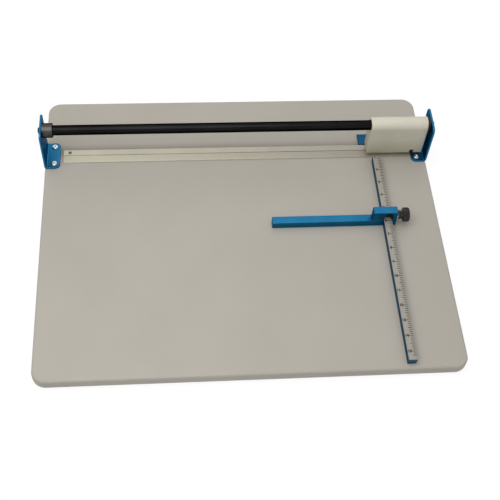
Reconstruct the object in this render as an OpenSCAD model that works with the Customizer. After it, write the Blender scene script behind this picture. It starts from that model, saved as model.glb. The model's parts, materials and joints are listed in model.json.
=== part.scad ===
// Desktop paper creasing machine. A board carries a round guide shaft between two brackets, and a
// carriage with a creasing wheel slides and turns on the shaft. The wheel runs over a grooved track.
// A ruler bar stands square to the track, and a stop bar clamps on it at the wanted crease distance.
// Millimetres. X runs to the right, Y to the rear and Z up. The origin lies on the surface that the
// machine stands on, under the middle of the board.

/* [Board] */
// Width of the board, left to right
board_w = 620; // [560:1:720]
// Depth of the board, front to rear
board_d = 518; // [480:1:600]
// Thickness of the board
board_t = 18; // [16:1:30]
// Radius of the board's corners, seen from above
board_corner_r = 20; // [12:1:50]
// Rounding along the board's top and bottom edges
board_edge_r = 4; // [1:0.5:6]

/* [Feet] */
// Height of a rubber foot
foot_h = 5; // [4:0.5:12]
// Diameter of a rubber foot
foot_d = 22; // [18:1:36]
// Distance from a foot's centre to the two nearest edges of the board
foot_inset = 40; // [30:1:70]
// Length of a foot screw's shank inside the board
foot_screw_grip = 10; // [6:0.5:13]

/* [Brackets] */
// Thickness of the bracket plate
bracket_t = 3; // [2:0.25:4]
// Depth of a bracket, front to rear
bracket_d = 51; // [46:1:70]
// Width of a bracket's foot on the board
bracket_foot_w = 24; // [23:1:36]
// Height of the upright plate above the shaft's axis
bracket_top = 11; // [8:0.5:25]
// Radius of the plate's free corners
bracket_corner_r = 8; // [3:0.5:12]
// Inner radius of the bend
bracket_bend_r = 2; // [1:0.5:4]
// Distance of the bracket's middle behind the shaft's axis
bracket_shift = 2; // [0:0.5:6]
// Distance from the board's side to the foot screws
bracket_screw_x = 15; // [13:0.5:18]
// Distance between the two foot screws
bracket_screw_pitch = 34; // [24:1:36]
// Length of a bracket screw's shank inside the board
bracket_screw_grip = 12; // [8:0.5:14]

/* [Guide shaft] */
// Diameter of the guide shaft
shaft_d = 16; // [12:0.5:18]
// Height of the shaft's axis above the board
shaft_h = 66; // [56:0.5:90]
// Distance from the board's rear edge to the shaft's axis
shaft_from_rear = 117.5; // [90:0.5:160]
// Diameter of the shaft bolts
shaft_bolt_d = 6; // [4:0.5:7]
// Diameter of a shaft bolt's head
shaft_bolt_head_d = 10.5; // [9:0.5:13]
// Height of a shaft bolt's head
shaft_bolt_head_h = 3.3; // [2:0.1:5]
// Depth that a shaft bolt screws into the shaft
shaft_bolt_grip = 14; // [8:1:25]
// Outer diameter of the two collars
collar_d = 23; // [21:0.5:25]
// Length of the left collar
left_collar_l = 16.5; // [10:0.5:30]
// Length of the right collar
right_collar_l = 5; // [4:0.5:12]

/* [Track] */
// Gap between a bracket's foot and the end of the track
track_end_gap = 5.5; // [2:0.5:20]
// Thickness of the track
track_t = 4; // [3:0.25:6]
// Width of the flat behind the groove
track_rear_w = 12; // [9:0.5:14]
// Width of the ramp before the groove
track_ramp_w = 12; // [10:0.5:18]
// Thickness of the track at its front edge
track_lip_t = 1.2; // [0.6:0.1:2]
// Width of the crease groove
groove_w = 1.5; // [1:0.1:2.5]
// Depth of the crease groove
groove_depth = 1.2; // [0.6:0.1:2]
// Distance from the end of the track to its screw
track_screw_end = 10; // [5:0.5:12]
// Length of a screw's shank inside the board under the track and the park strip
track_screw_grip = 10; // [6:0.5:13]

/* [Park strip] */
// How far the strip reaches to the left past the parked carriage block
strip_lead = 8.7; // [2:0.1:40]
// Depth of the strip, front to rear
strip_d = 22; // [12:0.5:30]
// Thickness of the strip
strip_t = 4; // [3:0.25:5]
// Gap between the strip and the track
strip_gap = 0.8; // [0.5:0.1:3]
// Distance from the strip's end to its screw
strip_screw_end = 16; // [8:1:24]

/* [Carriage] */
// Length of the carriage block along the shaft
block_l = 91; // [80:1:120]
// Thickness of the carriage block, front to rear
block_t = 25; // [23:0.5:30]
// Gap between the board and the underside of the carriage block
block_clear = 10.5; // [9:0.25:13]
// Rounding of the block's two lower edges
block_edge_r = 2; // [1:0.25:3]
// Wall of a slide bush
bush_wall = 1; // [1:0.25:2.5]
// Length of a slide bush
bush_l = 20; // [12:1:35]
// Depth of a slide bush below the end of the block
bush_recess = 0.5; // [0.5:0.5:4]

/* [Creasing wheel] */
// Height of the wheel's axle above the board
axle_h = 15; // [14:0.25:19]
// Distance from the right end of the block to the wheel's axle
axle_from_end = 17.5; // [16:0.5:28]
// Diameter of the axle
axle_d = 4; // [3:0.25:5]
// Width of the wheel's body
wheel_w = 6; // [4:0.25:8]
// Width of the crease ridge round the rim
ridge_w = 0.8; // [0.5:0.1:1.2]
// Height of the crease ridge above the rim
ridge_h = 1; // [0.5:0.1:1.5]
// Gap between the ridge and the track, for the paper
paper_gap = 0.3; // [0.2:0.05:0.6]
// Wall of the bush in the wheel
wheel_bush_wall = 2; // [1:0.25:3]
// Thickness of a thrust washer beside the wheel
washer_t = 0.6; // [0.4:0.1:1]
// Diameter of the axle's head
axle_head_d = 7; // [6:0.25:8]
// Height of the axle's head
axle_head_h = 2.6; // [2:0.1:4]
// Depth that the axle's head is sunk into the block
axle_head_sink = 1.6; // [0.5:0.1:2.5]
// Width across the flats of the axle's nut
nut_af = 7; // [6:0.25:8]
// Height of the axle's nut
nut_h = 3; // [2:0.1:4]

/* [Ruler] */
// Width of the ruler bar
ruler_w = 12.7; // [10:0.1:16]
// Height of the ruler bar
ruler_h = 12.7; // [10:0.1:14]
// Distance from the board's right edge to the ruler bar
ruler_from_right = 78; // [60:0.1:100]
// Distance from the board's front edge to the ruler bar
ruler_from_front = 8.5; // [5:0.5:40]
// Gap between the ruler bar and the track
ruler_track_gap = 8.5; // [4.5:0.5:15]
// Thickness of the printed tape on the ruler bar
tape_t = 0.3; // [0.2:0.05:0.5]
// Bare rim left beside the tape
tape_margin = 0.1; // [0:0.05:0.5]
// Number of screws that hold the ruler bar from below
ruler_screws_n = 3; // [2:1:4]
// Length of a ruler screw's shank inside the ruler bar
ruler_screw_grip = 8; // [5:0.5:9]

/* [Paper stop] */
// Distance from the groove to the stop's rear face at rest
stop_distance = 137.3; // [60:0.1:330]
// Length of the stop bar
stop_bar_l = 174; // [100:1:260]
// Height of the stop bar
stop_bar_h = 12.7; // [9:0.1:13.5]
// Depth of the stop bar and the slider block, front to rear
stop_d = 12.7; // [12:0.1:18]
// Gap under the stop bar and the slider block
stop_clear = 0.3; // [0.2:0.05:0.6]
// Gap between the slider block and each side of the ruler bar
ruler_fit = 0.2; // [0.1:0.05:0.4]
// Height of the slider block above the board
slider_h = 32.5; // [32:0.5:40]
// Length of the slider block to the left of the ruler bar
slider_body_l = 18; // [16:0.5:30]
// Thickness of the slider block's leg to the right of the ruler bar
slider_leg_t = 6.8; // [4:0.1:9]
// Height of the tunnel's crown above the board
tunnel_crown = 30; // [25.5:0.5:30]
// Rounding of the slider block's upper corners
slider_corner_r = 2; // [1:0.25:3]

/* [Thumb screw] */
// Height of the thumb screw's axis above the board
screw_h = 19.2; // [18:0.1:22]
// Diameter of the threaded stud
stud_d = 8; // [4:0.25:8.5]
// Depth of the stud's end in the slider block
stud_grip = 8; // [5:0.5:9]
// Diameter of the washer between the slider block and the knob
knob_washer_d = 14; // [9:0.5:16]
// Thickness of that washer
knob_washer_t = 1.2; // [0.6:0.1:2]
// Diameter of the knob
knob_d = 22.5; // [19:0.5:26]
// Length of the knob's fluted head
knob_l = 10; // [8:0.5:16]
// Number of flutes round the knob
flutes_n = 16; // [8:1:20]
// Diameter of a flute
flute_d = 3.2; // [1.5:0.1:3.6]
// Diameter of the knob's collar, which bears on the washer
neck_d = 14; // [12:0.5:15]
// Diameter of the waist between the collar and the head
waist_d = 13.25; // [11:0.25:14]
// Length of the knob's neck
neck_l = 8; // [5:0.2:12]
// Bevel round the knob's outer face
knob_bevel = 2.6; // [0.5:0.1:3]

/* [Hidden] */

$fn = 48;
blue = [0.13, 0.42, 0.58];
warm_grey = [0.72, 0.69, 0.65];
cream = [0.82, 0.80, 0.74];
black = [0.09, 0.09, 0.09];
steel = [0.62, 0.63, 0.65];

// How far a cutting solid runs past the face that it cuts
over = 1;
// Radial clearance of a part that turns or slides in its bore
running = 0.05;
// Radial clearance of a screw in its thread or of a piece pressed on another
snug = 0.02;
// Gap left between two pieces that pass or meet each other
touch_gap = 0.3;

deck_z = foot_h + board_t;
groove_y = board_d / 2 - shaft_from_rear;
axis_z = deck_z + shaft_h;
plate_in_x = board_w / 2 - bracket_t;
shaft_r = shaft_d / 2;

foot_hole_r = 2.2;
foot_screw_r = 2;
foot_head_r = 4;
foot_head_h = 2;

bracket_y = groove_y + bracket_shift;
bracket_h = shaft_h + bracket_top;
bracket_screw_r = 2.4;
bracket_head_r = 4.6;
bracket_head_h = 2.4;

left_grub_r = 2.5;
right_grub_r = 1.5;

track_l = board_w - 2 * (bracket_foot_w + track_end_gap);
small_screw_r = 1.6;
small_head_r = 3;
small_head_h = 1.7;
track_screw_y = groove_y + track_rear_w / 2;

block_right_x = plate_in_x - right_collar_l - touch_gap;
block_left_x = block_right_x - block_l;
block_z = deck_z + block_clear;
bush_r = shaft_r + bush_wall;

strip_left_x = block_left_x - strip_lead;
strip_right_x = board_w / 2 - bracket_foot_w - touch_gap;
strip_l = strip_right_x - strip_left_x;
strip_y = groove_y + track_rear_w + strip_gap;

axle_x = block_right_x - axle_from_end;
axle_z = deck_z + axle_h;
axle_r = axle_d / 2;
wheel_r = axle_h - track_t - paper_gap;
wheel_bush_r = axle_r + running + wheel_bush_wall;
wheel_bush_w = wheel_w + 0.6;
washer_play = 0.15;
slot_w = wheel_bush_w + 2 * (washer_play + washer_t + snug);
slot_clear = 1.5;

ruler_x = board_w / 2 - ruler_from_right - ruler_w;
ruler_y = ruler_from_front - board_d / 2;
ruler_l = groove_y - track_ramp_w - ruler_track_gap - ruler_y;
ruler_screw_end = 30;
ruler_screw_r = 2;
ruler_head_r = 3.8;
ruler_head_h = 3.5;
ruler_counterbore = 6;

stop_y = groove_y - stop_distance - stop_d;
tunnel_x = ruler_x - ruler_fit;
tunnel_w = ruler_w + 2 * ruler_fit;
slider_x = tunnel_x - slider_body_l;
leg_x = tunnel_x + tunnel_w;
stop_screw_r = 1.5;
stop_head_r = 2.7;
stop_head_h = 1.6;
stop_screw_x = slider_x + 4.4;
stop_screw_pitch = 6;
stop_screw_rise = 9;

stud_r = stud_d / 2;
stud_y = stop_y + stop_d / 2;
stud_z = deck_z + screw_h;
leg_right_x = leg_x + slider_leg_t;
neck_x = leg_right_x + knob_washer_t + running;
stud_depth_in_knob = neck_l + knob_l / 2;
knob_shoulder_w = 2;
knob_shoulder_h = 1.4;
collar_l = 0.3 * neck_l;
collar_taper_l = 0.12 * neck_l;
shoulder_taper_l = 0.2 * neck_l;

// ---------------------------------------------------------------- shared shapes

// A rectangle centred on the origin with round corners
module round_rect(w, d, r) {
    square([w - 2 * r, d], center = true);
    square([w, d - 2 * r], center = true);
    for (sx = [-1, 1], sy = [-1, 1])
        translate([sx * (w / 2 - r), sy * (d / 2 - r)]) circle(r);
}

// A rectangle from the origin, w wide and h high, with its upper two corners round
module round_top(w, h, r) {
    square([w, h - r]);
    translate([r, 0]) square([w - 2 * r, h]);
    for (x = [r, w - r]) translate([x, h - r]) circle(r);
}

// Extrudes a shape drawn in Y and Z along X, from x0 to x1
module along_x(x0, x1) {
    translate([x0, 0, 0]) rotate([90, 0, 90]) linear_extrude(x1 - x0) children();
}

// Extrudes a shape drawn in X and Z along Y, from y0 to y1
module along_y(y0, y1) {
    translate([0, y1, 0]) rotate([90, 0, 0]) linear_extrude(y1 - y0) children();
}

// A rod along X that starts at the given point
module rod_x(r, l) {
    rotate([0, 90, 0]) cylinder(r = r, h = l);
}

// A rod along Y that starts at the given point
module rod_y(r, l) {
    rotate([-90, 0, 0]) cylinder(r = r, h = l);
}

// A ring round Z with its outer edges bevelled
module collar_ring(r_in, r_out, l, bevel) {
    rotate_extrude() polygon([
        [r_in, 0], [r_out - bevel, 0], [r_out, bevel],
        [r_out, l - bevel], [r_out - bevel, l], [r_in, l]
    ]);
}

// A pan-head screw that points down: the head's underside lies at z = 0
module pan_screw(shank_r, shank_l, head_r, head_h) {
    drive_r = 0.42 * head_r;
    difference() {
        union() {
            translate([0, 0, -shank_l]) cylinder(r = shank_r, h = shank_l + 0.5 * head_h);
            cylinder(r = head_r, h = 0.55 * head_h);
            translate([0, 0, 0.55 * head_h])
                cylinder(r1 = head_r, r2 = 0.72 * head_r, h = 0.45 * head_h);
        }
        translate([0, 0, 0.45 * head_h]) cylinder(r = drive_r, h = head_h, $fn = 6);
    }
}

// A countersunk screw that points down: the head's top lies at z = 0
module flat_screw(shank_r, shank_l, head_r, head_h) {
    difference() {
        union() {
            translate([0, 0, -head_h]) cylinder(r1 = shank_r, r2 = head_r, h = head_h);
            translate([0, 0, -shank_l - head_h]) cylinder(r = shank_r, h = shank_l + head_h);
        }
        translate([0, 0, -0.6 * head_h]) cylinder(r = 0.5 * head_r, h = head_h, $fn = 6);
    }
}

// The hole for a countersunk screw through a plate of thickness t whose top lies at z = 0
module flat_screw_hole(shank_r, head_r, head_h, t) {
    translate([0, 0, -head_h - snug]) cylinder(r1 = shank_r + snug, r2 = head_r + snug, h = head_h + snug);
    translate([0, 0, -snug / 2]) cylinder(r = head_r + snug, h = over);
    translate([0, 0, -t - over]) cylinder(r = shank_r + snug, h = t + over);
}

// ---------------------------------------------------------------- board and feet

foot_places = [for (sy = [-1, 1], sx = [-1, 1])
    [sx * (board_w / 2 - foot_inset), sy * (board_d / 2 - foot_inset)]];
bracket_screw_places = [for (sx = [-1, 1], sy = [-1, 1])
    [sx * (board_w / 2 - bracket_screw_x), bracket_y + sy * bracket_screw_pitch / 2]];
track_screw_places = [for (sx = [-1, 1]) [sx * (track_l / 2 - track_screw_end), track_screw_y]];
strip_screw_places = [for (x = [strip_left_x + strip_screw_end, strip_right_x - strip_screw_end])
    [x, strip_y + strip_d / 2]];
ruler_screw_step = (ruler_l - 2 * ruler_screw_end) / (ruler_screws_n - 1);
ruler_screw_places = [for (i = [0:ruler_screws_n - 1])
    [ruler_x + ruler_w / 2, ruler_y + ruler_screw_end + i * ruler_screw_step]];

// The round corner of the board, edges rounded like its sides
module board_corner() {
    rotate_extrude() {
        square([board_corner_r - board_edge_r, board_t]);
        translate([0, board_edge_r]) square([board_corner_r, board_t - 2 * board_edge_r]);
        for (y = [board_edge_r, board_t - board_edge_r])
            translate([board_corner_r - board_edge_r, y]) circle(board_edge_r);
    }
}

module board_blank() {
    run_x = board_w / 2 - board_corner_r;
    run_y = board_d / 2 - board_corner_r;
    translate([0, 0, foot_h + board_t / 2]) {
        along_x(-run_x, run_x) round_rect(board_d, board_t, board_edge_r);
        along_y(-run_y, run_y) round_rect(board_w, board_t, board_edge_r);
    }
    for (sx = [-1, 1], sy = [-1, 1])
        translate([sx * run_x, sy * run_y, foot_h]) board_corner();
}

module base_board() {
    color(warm_grey) difference() {
        board_blank();
        for (p = foot_places)
            translate([p[0], p[1], foot_h - over])
                cylinder(r = foot_screw_r + snug, h = foot_screw_grip + over + touch_gap);
        for (p = bracket_screw_places)
            translate([p[0], p[1], deck_z - bracket_screw_grip - touch_gap])
                cylinder(r = bracket_screw_r + snug, h = bracket_screw_grip + touch_gap + over);
        for (p = concat(track_screw_places, strip_screw_places))
            translate([p[0], p[1], deck_z - track_screw_grip - touch_gap])
                cylinder(r = small_screw_r + snug, h = track_screw_grip + touch_gap + over);
        for (p = ruler_screw_places)
            translate([p[0], p[1], foot_h - over]) {
                cylinder(r = ruler_screw_r + snug, h = board_t + 2 * over);
                cylinder(r = ruler_head_r + touch_gap, h = ruler_counterbore + over);
            }
    }
}

module foot_at(p) {
    color(black) translate([p[0], p[1], 0]) difference() {
        collar_ring(foot_hole_r, foot_d / 2, foot_h, 0.8);
        translate([0, 0, -over]) cylinder(r = foot_head_r + touch_gap, h = foot_head_h + touch_gap + over);
    }
}

module foot_front_left() { foot_at(foot_places[0]); }
module foot_front_right() { foot_at(foot_places[1]); }
module foot_rear_left() { foot_at(foot_places[2]); }
module foot_rear_right() { foot_at(foot_places[3]); }

module foot_screws() {
    shank_l = foot_h - foot_head_h - touch_gap + foot_screw_grip;
    color(steel) for (p = foot_places)
        translate([p[0], p[1], foot_head_h + touch_gap]) mirror([0, 0, 1])
            pan_screw(foot_screw_r, shank_l, foot_head_r, foot_head_h);
}

// ---------------------------------------------------------------- brackets

// The bent plate's section in X and Z, its outer corner at the origin
module bracket_section() {
    bend_out = bracket_bend_r + bracket_t;
    translate([bend_out, 0]) square([bracket_foot_w - bend_out, bracket_t]);
    translate([0, bend_out]) square([bracket_t, bracket_h - bend_out]);
    translate([bend_out, bend_out]) intersection() {
        difference() {
            circle(bend_out);
            circle(bracket_bend_r);
        }
        translate([-bend_out, -bend_out]) square(bend_out);
    }
}

module left_bracket() {
    color(blue) difference() {
        translate([-board_w / 2, bracket_y - bracket_d / 2, deck_z]) intersection() {
            along_y(0, bracket_d) bracket_section();
            along_x(-over, bracket_foot_w + over) round_top(bracket_d, bracket_h, bracket_corner_r);
            translate([0, bracket_d / 2, 0]) linear_extrude(bracket_h)
                round_rect(2 * bracket_foot_w, bracket_d, bracket_corner_r);
        }
        for (p = bracket_screw_places)
            translate([p[0], p[1], deck_z - over])
                cylinder(r = bracket_screw_r + snug, h = bracket_t + 2 * over);
        translate([-board_w / 2 - over, groove_y, axis_z])
            rod_x(shaft_bolt_d / 2 + running, bracket_t + 2 * over);
    }
}

module right_bracket() {
    mirror([1, 0, 0]) left_bracket();
}

module bracket_screws() {
    color(steel) for (p = bracket_screw_places)
        translate([p[0], p[1], deck_z + bracket_t])
            pan_screw(bracket_screw_r, bracket_t + bracket_screw_grip, bracket_head_r, bracket_head_h);
}

// ---------------------------------------------------------------- shaft, bolts and collars

module guide_shaft() {
    color(black) difference() {
        translate([-plate_in_x, groove_y, axis_z]) rod_x(shaft_r, 2 * plate_in_x);
        for (s = [-1, 1]) translate([s * (plate_in_x - shaft_bolt_grip / 2), groove_y, axis_z])
            rotate([0, 90, 0])
                cylinder(r = shaft_bolt_d / 2 + snug, h = shaft_bolt_grip + 2 * over, center = true);
    }
}

// The left shaft bolt: its head bears on the outside of the plate
module left_shaft_bolt() {
    color(black) translate([-board_w / 2, groove_y, axis_z]) rotate([0, 90, 0]) mirror([0, 0, 1])
        pan_screw(shaft_bolt_d / 2, bracket_t + shaft_bolt_grip, shaft_bolt_head_d / 2, shaft_bolt_head_h);
}

module right_shaft_bolt() {
    mirror([1, 0, 0]) left_shaft_bolt();
}

// A collar on the shaft between x0 and x0 + l, its grub screw hole facing the rear
module shaft_collar(x0, l, grub_r) {
    color("dimgray") difference() {
        translate([x0, groove_y, axis_z]) rotate([0, 90, 0])
            collar_ring(shaft_r + snug, collar_d / 2, l, 0.6);
        translate([x0 + l / 2, groove_y, axis_z]) rod_y(grub_r + snug, collar_d);
    }
}

module left_collar() {
    shaft_collar(-plate_in_x, left_collar_l, left_grub_r);
}

module right_collar() {
    shaft_collar(plate_in_x - right_collar_l, right_collar_l, right_grub_r);
}

// A grub screw that ends on the shaft and lies flush with the collar, or a little below it
module grub_screw(x, r) {
    depth = (collar_d - shaft_d) / 2;
    translate([x, groove_y + shaft_r + snug, axis_z]) difference() {
        rod_y(r, depth - 0.4);
        translate([0, depth / 2, 0]) rotate([-90, 0, 0]) cylinder(r = 0.55 * r, h = depth, $fn = 6);
    }
}

module collar_grub_screws() {
    color(black) {
        grub_screw(-plate_in_x + left_collar_l / 2, left_grub_r);
        grub_screw(plate_in_x - right_collar_l / 2, right_grub_r);
    }
}

// ---------------------------------------------------------------- track and park strip

module crease_track() {
    half_groove = groove_w / 2;
    color("silver") difference() {
        translate([0, groove_y, deck_z]) along_x(-track_l / 2, track_l / 2) polygon([
            [track_rear_w, 0], [track_rear_w, track_t], [half_groove, track_t],
            [half_groove, track_t - groove_depth], [-half_groove, track_t - groove_depth],
            [-half_groove, track_t], [-track_ramp_w, track_lip_t], [-track_ramp_w, 0]
        ]);
        for (p = track_screw_places) translate([p[0], p[1], deck_z + track_t])
            flat_screw_hole(small_screw_r, small_head_r, small_head_h, track_t);
    }
}

module track_screws() {
    color(steel) for (p = track_screw_places) translate([p[0], p[1], deck_z + track_t])
        flat_screw(small_screw_r, track_t - small_head_h + track_screw_grip, small_head_r, small_head_h);
}

module park_strip() {
    color(blue) difference() {
        translate([(strip_left_x + strip_right_x) / 2, strip_y + strip_d / 2, deck_z])
            linear_extrude(strip_t) round_rect(strip_l, strip_d, 1);
        for (p = strip_screw_places) translate([p[0], p[1], deck_z + strip_t])
            flat_screw_hole(small_screw_r, small_head_r, small_head_h, strip_t);
    }
}

module park_strip_screws() {
    color(steel) for (p = strip_screw_places) translate([p[0], p[1], deck_z + strip_t])
        flat_screw(small_screw_r, strip_t - small_head_h + track_screw_grip, small_head_r, small_head_h);
}

// ---------------------------------------------------------------- ruler

module ruler_bar() {
    color(blue) difference() {
        translate([ruler_x, ruler_y, deck_z]) cube([ruler_w, ruler_l, ruler_h]);
        for (p = ruler_screw_places) translate([p[0], p[1], deck_z - over])
            cylinder(r = ruler_screw_r + snug, h = ruler_screw_grip + touch_gap + over);
    }
}

module ruler_tape() {
    color("gainsboro") translate([ruler_x + tape_margin, ruler_y, deck_z + ruler_h])
        cube([ruler_w - 2 * tape_margin, ruler_l, tape_t]);
}

module ruler_screws() {
    color(steel) for (p = ruler_screw_places)
        translate([p[0], p[1], foot_h + ruler_counterbore]) mirror([0, 0, 1])
            pan_screw(ruler_screw_r, board_t - ruler_counterbore + ruler_screw_grip, ruler_head_r, ruler_head_h);
}

// ---------------------------------------------------------------- carriage

// A slide bush whose left end is at x0
module slide_bush(x0) {
    color("goldenrod") translate([x0, groove_y, axis_z]) rotate([0, 90, 0])
        collar_ring(shaft_r + running, bush_r, bush_l, 0.4);
}

module left_slide_bush() {
    slide_bush(block_left_x + bush_recess);
}

module right_slide_bush() {
    slide_bush(block_right_x - bush_recess - bush_l);
}

// The block's section in Y and Z: a round top about the shaft over a straight body
module block_section() {
    half_t = block_t / 2;
    translate([groove_y, axis_z]) circle(half_t);
    translate([groove_y - half_t, block_z + block_edge_r]) square([block_t, axis_z - block_z - block_edge_r]);
    translate([groove_y - half_t + block_edge_r, block_z]) square([block_t - 2 * block_edge_r, axis_z - block_z]);
    for (s = [-1, 1])
        translate([groove_y + s * (half_t - block_edge_r), block_z + block_edge_r]) circle(block_edge_r);
}

module carriage_block() {
    slot_r = wheel_r + slot_clear;
    color(cream) difference() {
        along_x(block_left_x, block_right_x) block_section();
        translate([block_left_x - over, groove_y, axis_z]) rod_x(bush_r + running, block_l + 2 * over);
        translate([axle_x, groove_y - slot_w / 2, axle_z]) rod_y(slot_r, slot_w);
        translate([axle_x - slot_r, groove_y - slot_w / 2, block_z - over])
            cube([2 * slot_r, slot_w, axle_z - block_z + over]);
        translate([axle_x, groove_y - block_t / 2 - over, axle_z]) {
            rod_y(axle_r + running, block_t + 2 * over);
            rod_y(axle_head_d / 2 + 0.2, axle_head_sink + over);
        }
        translate([axle_x, groove_y + block_t / 2 - nut_h, axle_z]) rotate([-90, 30, 0])
            cylinder(d = (nut_af + 0.3) / cos(30), h = nut_h + over, $fn = 6);
    }
}

module crease_wheel() {
    body_r = wheel_r - ridge_h;
    half_w = wheel_w / 2;
    half_ridge = ridge_w / 2;
    color(steel) translate([axle_x, groove_y, axle_z]) rotate([-90, 0, 0]) rotate_extrude() polygon([
        [wheel_bush_r + snug, -half_w], [body_r - 0.5, -half_w], [body_r, -half_w + 0.5],
        [body_r, -half_ridge - 0.6], [wheel_r, -half_ridge], [wheel_r, half_ridge],
        [body_r, half_ridge + 0.6], [body_r, half_w - 0.5], [body_r - 0.5, half_w],
        [wheel_bush_r + snug, half_w]
    ]);
}

module wheel_bush() {
    color("goldenrod") translate([axle_x, groove_y - wheel_bush_w / 2, axle_z]) difference() {
        rod_y(wheel_bush_r, wheel_bush_w);
        translate([0, -over, 0]) rod_y(axle_r + running, wheel_bush_w + 2 * over);
    }
}

module wheel_washers() {
    gap = wheel_bush_w / 2 + washer_play;
    color(steel) for (y = [-gap - washer_t, gap]) translate([axle_x, groove_y + y, axle_z]) difference() {
        rod_y(wheel_bush_r + 0.8, washer_t);
        translate([0, -over, 0]) rod_y(axle_r + snug, washer_t + 2 * over);
    }
}

module wheel_axle() {
    head_y = groove_y - block_t / 2 + axle_head_sink;
    color(black) translate([axle_x, head_y, axle_z]) rotate([90, 0, 0])
        pan_screw(axle_r, block_t - axle_head_sink, axle_head_d / 2, axle_head_h);
}

module axle_nut() {
    color(steel) translate([axle_x, groove_y + block_t / 2 - nut_h, axle_z]) rotate([-90, 30, 0]) difference() {
        cylinder(d = nut_af / cos(30), h = nut_h, $fn = 6);
        translate([0, 0, -over]) cylinder(r = axle_r + snug, h = nut_h + 2 * over);
    }
}

// ---------------------------------------------------------------- paper stop

stop_screw_ys = [stud_y - stop_screw_pitch / 2, stud_y + stop_screw_pitch / 2];

// The slider block's section in X and Z: an arched tunnel for the ruler bar, and a step for the stop bar
module slider_section() {
    tunnel_r = tunnel_w / 2;
    difference() {
        translate([slider_x, deck_z + stop_clear])
            round_top(leg_right_x - slider_x, slider_h - stop_clear, slider_corner_r);
        translate([tunnel_x, deck_z - over]) square([tunnel_w, tunnel_crown - tunnel_r + over]);
        translate([tunnel_x + tunnel_r, deck_z + tunnel_crown - tunnel_r]) circle(tunnel_r);
        translate([slider_x - over, deck_z - over])
            square([slider_body_l + 2 * over, stop_clear + stop_bar_h + over]);
    }
}

module slider_block() {
    color(blue) difference() {
        along_y(stop_y, stop_y + stop_d) slider_section();
        translate([leg_x - over, stud_y, stud_z]) rod_x(stud_r + 0.2, slider_leg_t + 2 * over);
        translate([tunnel_x - stud_grip - touch_gap, stud_y, stud_z])
            rod_x(stud_r + running, stud_grip + touch_gap + over);
        for (y = stop_screw_ys) translate([stop_screw_x, y, deck_z + stop_bar_h])
            cylinder(r = stop_screw_r + snug, h = stop_screw_rise + stop_clear + touch_gap);
    }
}

module stop_bar() {
    color(blue) difference() {
        translate([tunnel_x - stop_bar_l, stop_y, deck_z + stop_clear]) cube([stop_bar_l, stop_d, stop_bar_h]);
        for (y = stop_screw_ys) translate([stop_screw_x, y, deck_z + stop_clear]) mirror([0, 0, 1])
            flat_screw_hole(stop_screw_r, stop_head_r, stop_head_h, stop_bar_h);
    }
}

module stop_bar_screws() {
    color(steel) for (y = stop_screw_ys) translate([stop_screw_x, y, deck_z + stop_clear]) mirror([0, 0, 1])
        flat_screw(stop_screw_r, stop_bar_h - stop_head_h + stop_screw_rise, stop_head_r, stop_head_h);
}

module thumb_stud() {
    stud_x = tunnel_x - stud_grip;
    color(black) translate([stud_x, stud_y, stud_z])
        rod_x(stud_r, neck_x + stud_depth_in_knob - stud_x);
}

module knob_washer() {
    color(cream) translate([leg_right_x, stud_y, stud_z]) difference() {
        rod_x(knob_washer_d / 2, knob_washer_t);
        translate([-over, 0, 0]) rod_x(stud_r + 0.2, knob_washer_t + 2 * over);
    }
}

// The knob turned about Z, its bearing face at z = 0 and its head pointing up
module knob_body() {
    head_r = knob_d / 2;
    rotate_extrude() polygon([
        [0, 0], [neck_d / 2, 0], [neck_d / 2, collar_l], [waist_d / 2, collar_l + collar_taper_l],
        [waist_d / 2, neck_l - shoulder_taper_l], [head_r - knob_shoulder_w, neck_l],
        [head_r, neck_l + knob_shoulder_h], [head_r, neck_l + knob_l - knob_bevel],
        [head_r - knob_bevel, neck_l + knob_l], [0, neck_l + knob_l]
    ]);
}

module thumb_knob() {
    color(black) translate([neck_x, stud_y, stud_z]) rotate([0, 90, 0]) difference() {
        knob_body();
        translate([0, 0, -over]) cylinder(r = stud_r + running, h = stud_depth_in_knob + touch_gap + over);
        for (i = [0:flutes_n - 1]) rotate([0, 0, i * 360 / flutes_n])
            translate([knob_d / 2 + 0.2 * flute_d, 0, neck_l]) cylinder(d = flute_d, h = knob_l + over);
    }
}

base_board();
foot_front_left();
foot_front_right();
foot_rear_left();
foot_rear_right();
foot_screws();
left_bracket();
right_bracket();
bracket_screws();
guide_shaft();
left_shaft_bolt();
right_shaft_bolt();
left_collar();
right_collar();
collar_grub_screws();
crease_track();
track_screws();
park_strip();
park_strip_screws();
ruler_bar();
ruler_tape();
ruler_screws();
left_slide_bush();
right_slide_bush();
carriage_block();
crease_wheel();
wheel_bush();
wheel_axle();
wheel_washers();
axle_nut();
slider_block();
stop_bar();
stop_bar_screws();
thumb_stud();
knob_washer();
thumb_knob();
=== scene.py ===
# %% [markdown]
# # Dressing a desktop paper creasing machine
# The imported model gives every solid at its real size. This lesson adds what the eye needs: soft edges,
# a printed scale, screws with sockets, finishes with grain and gloss, and the photographer's view.

# %% Load the frame
import json
import math

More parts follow.
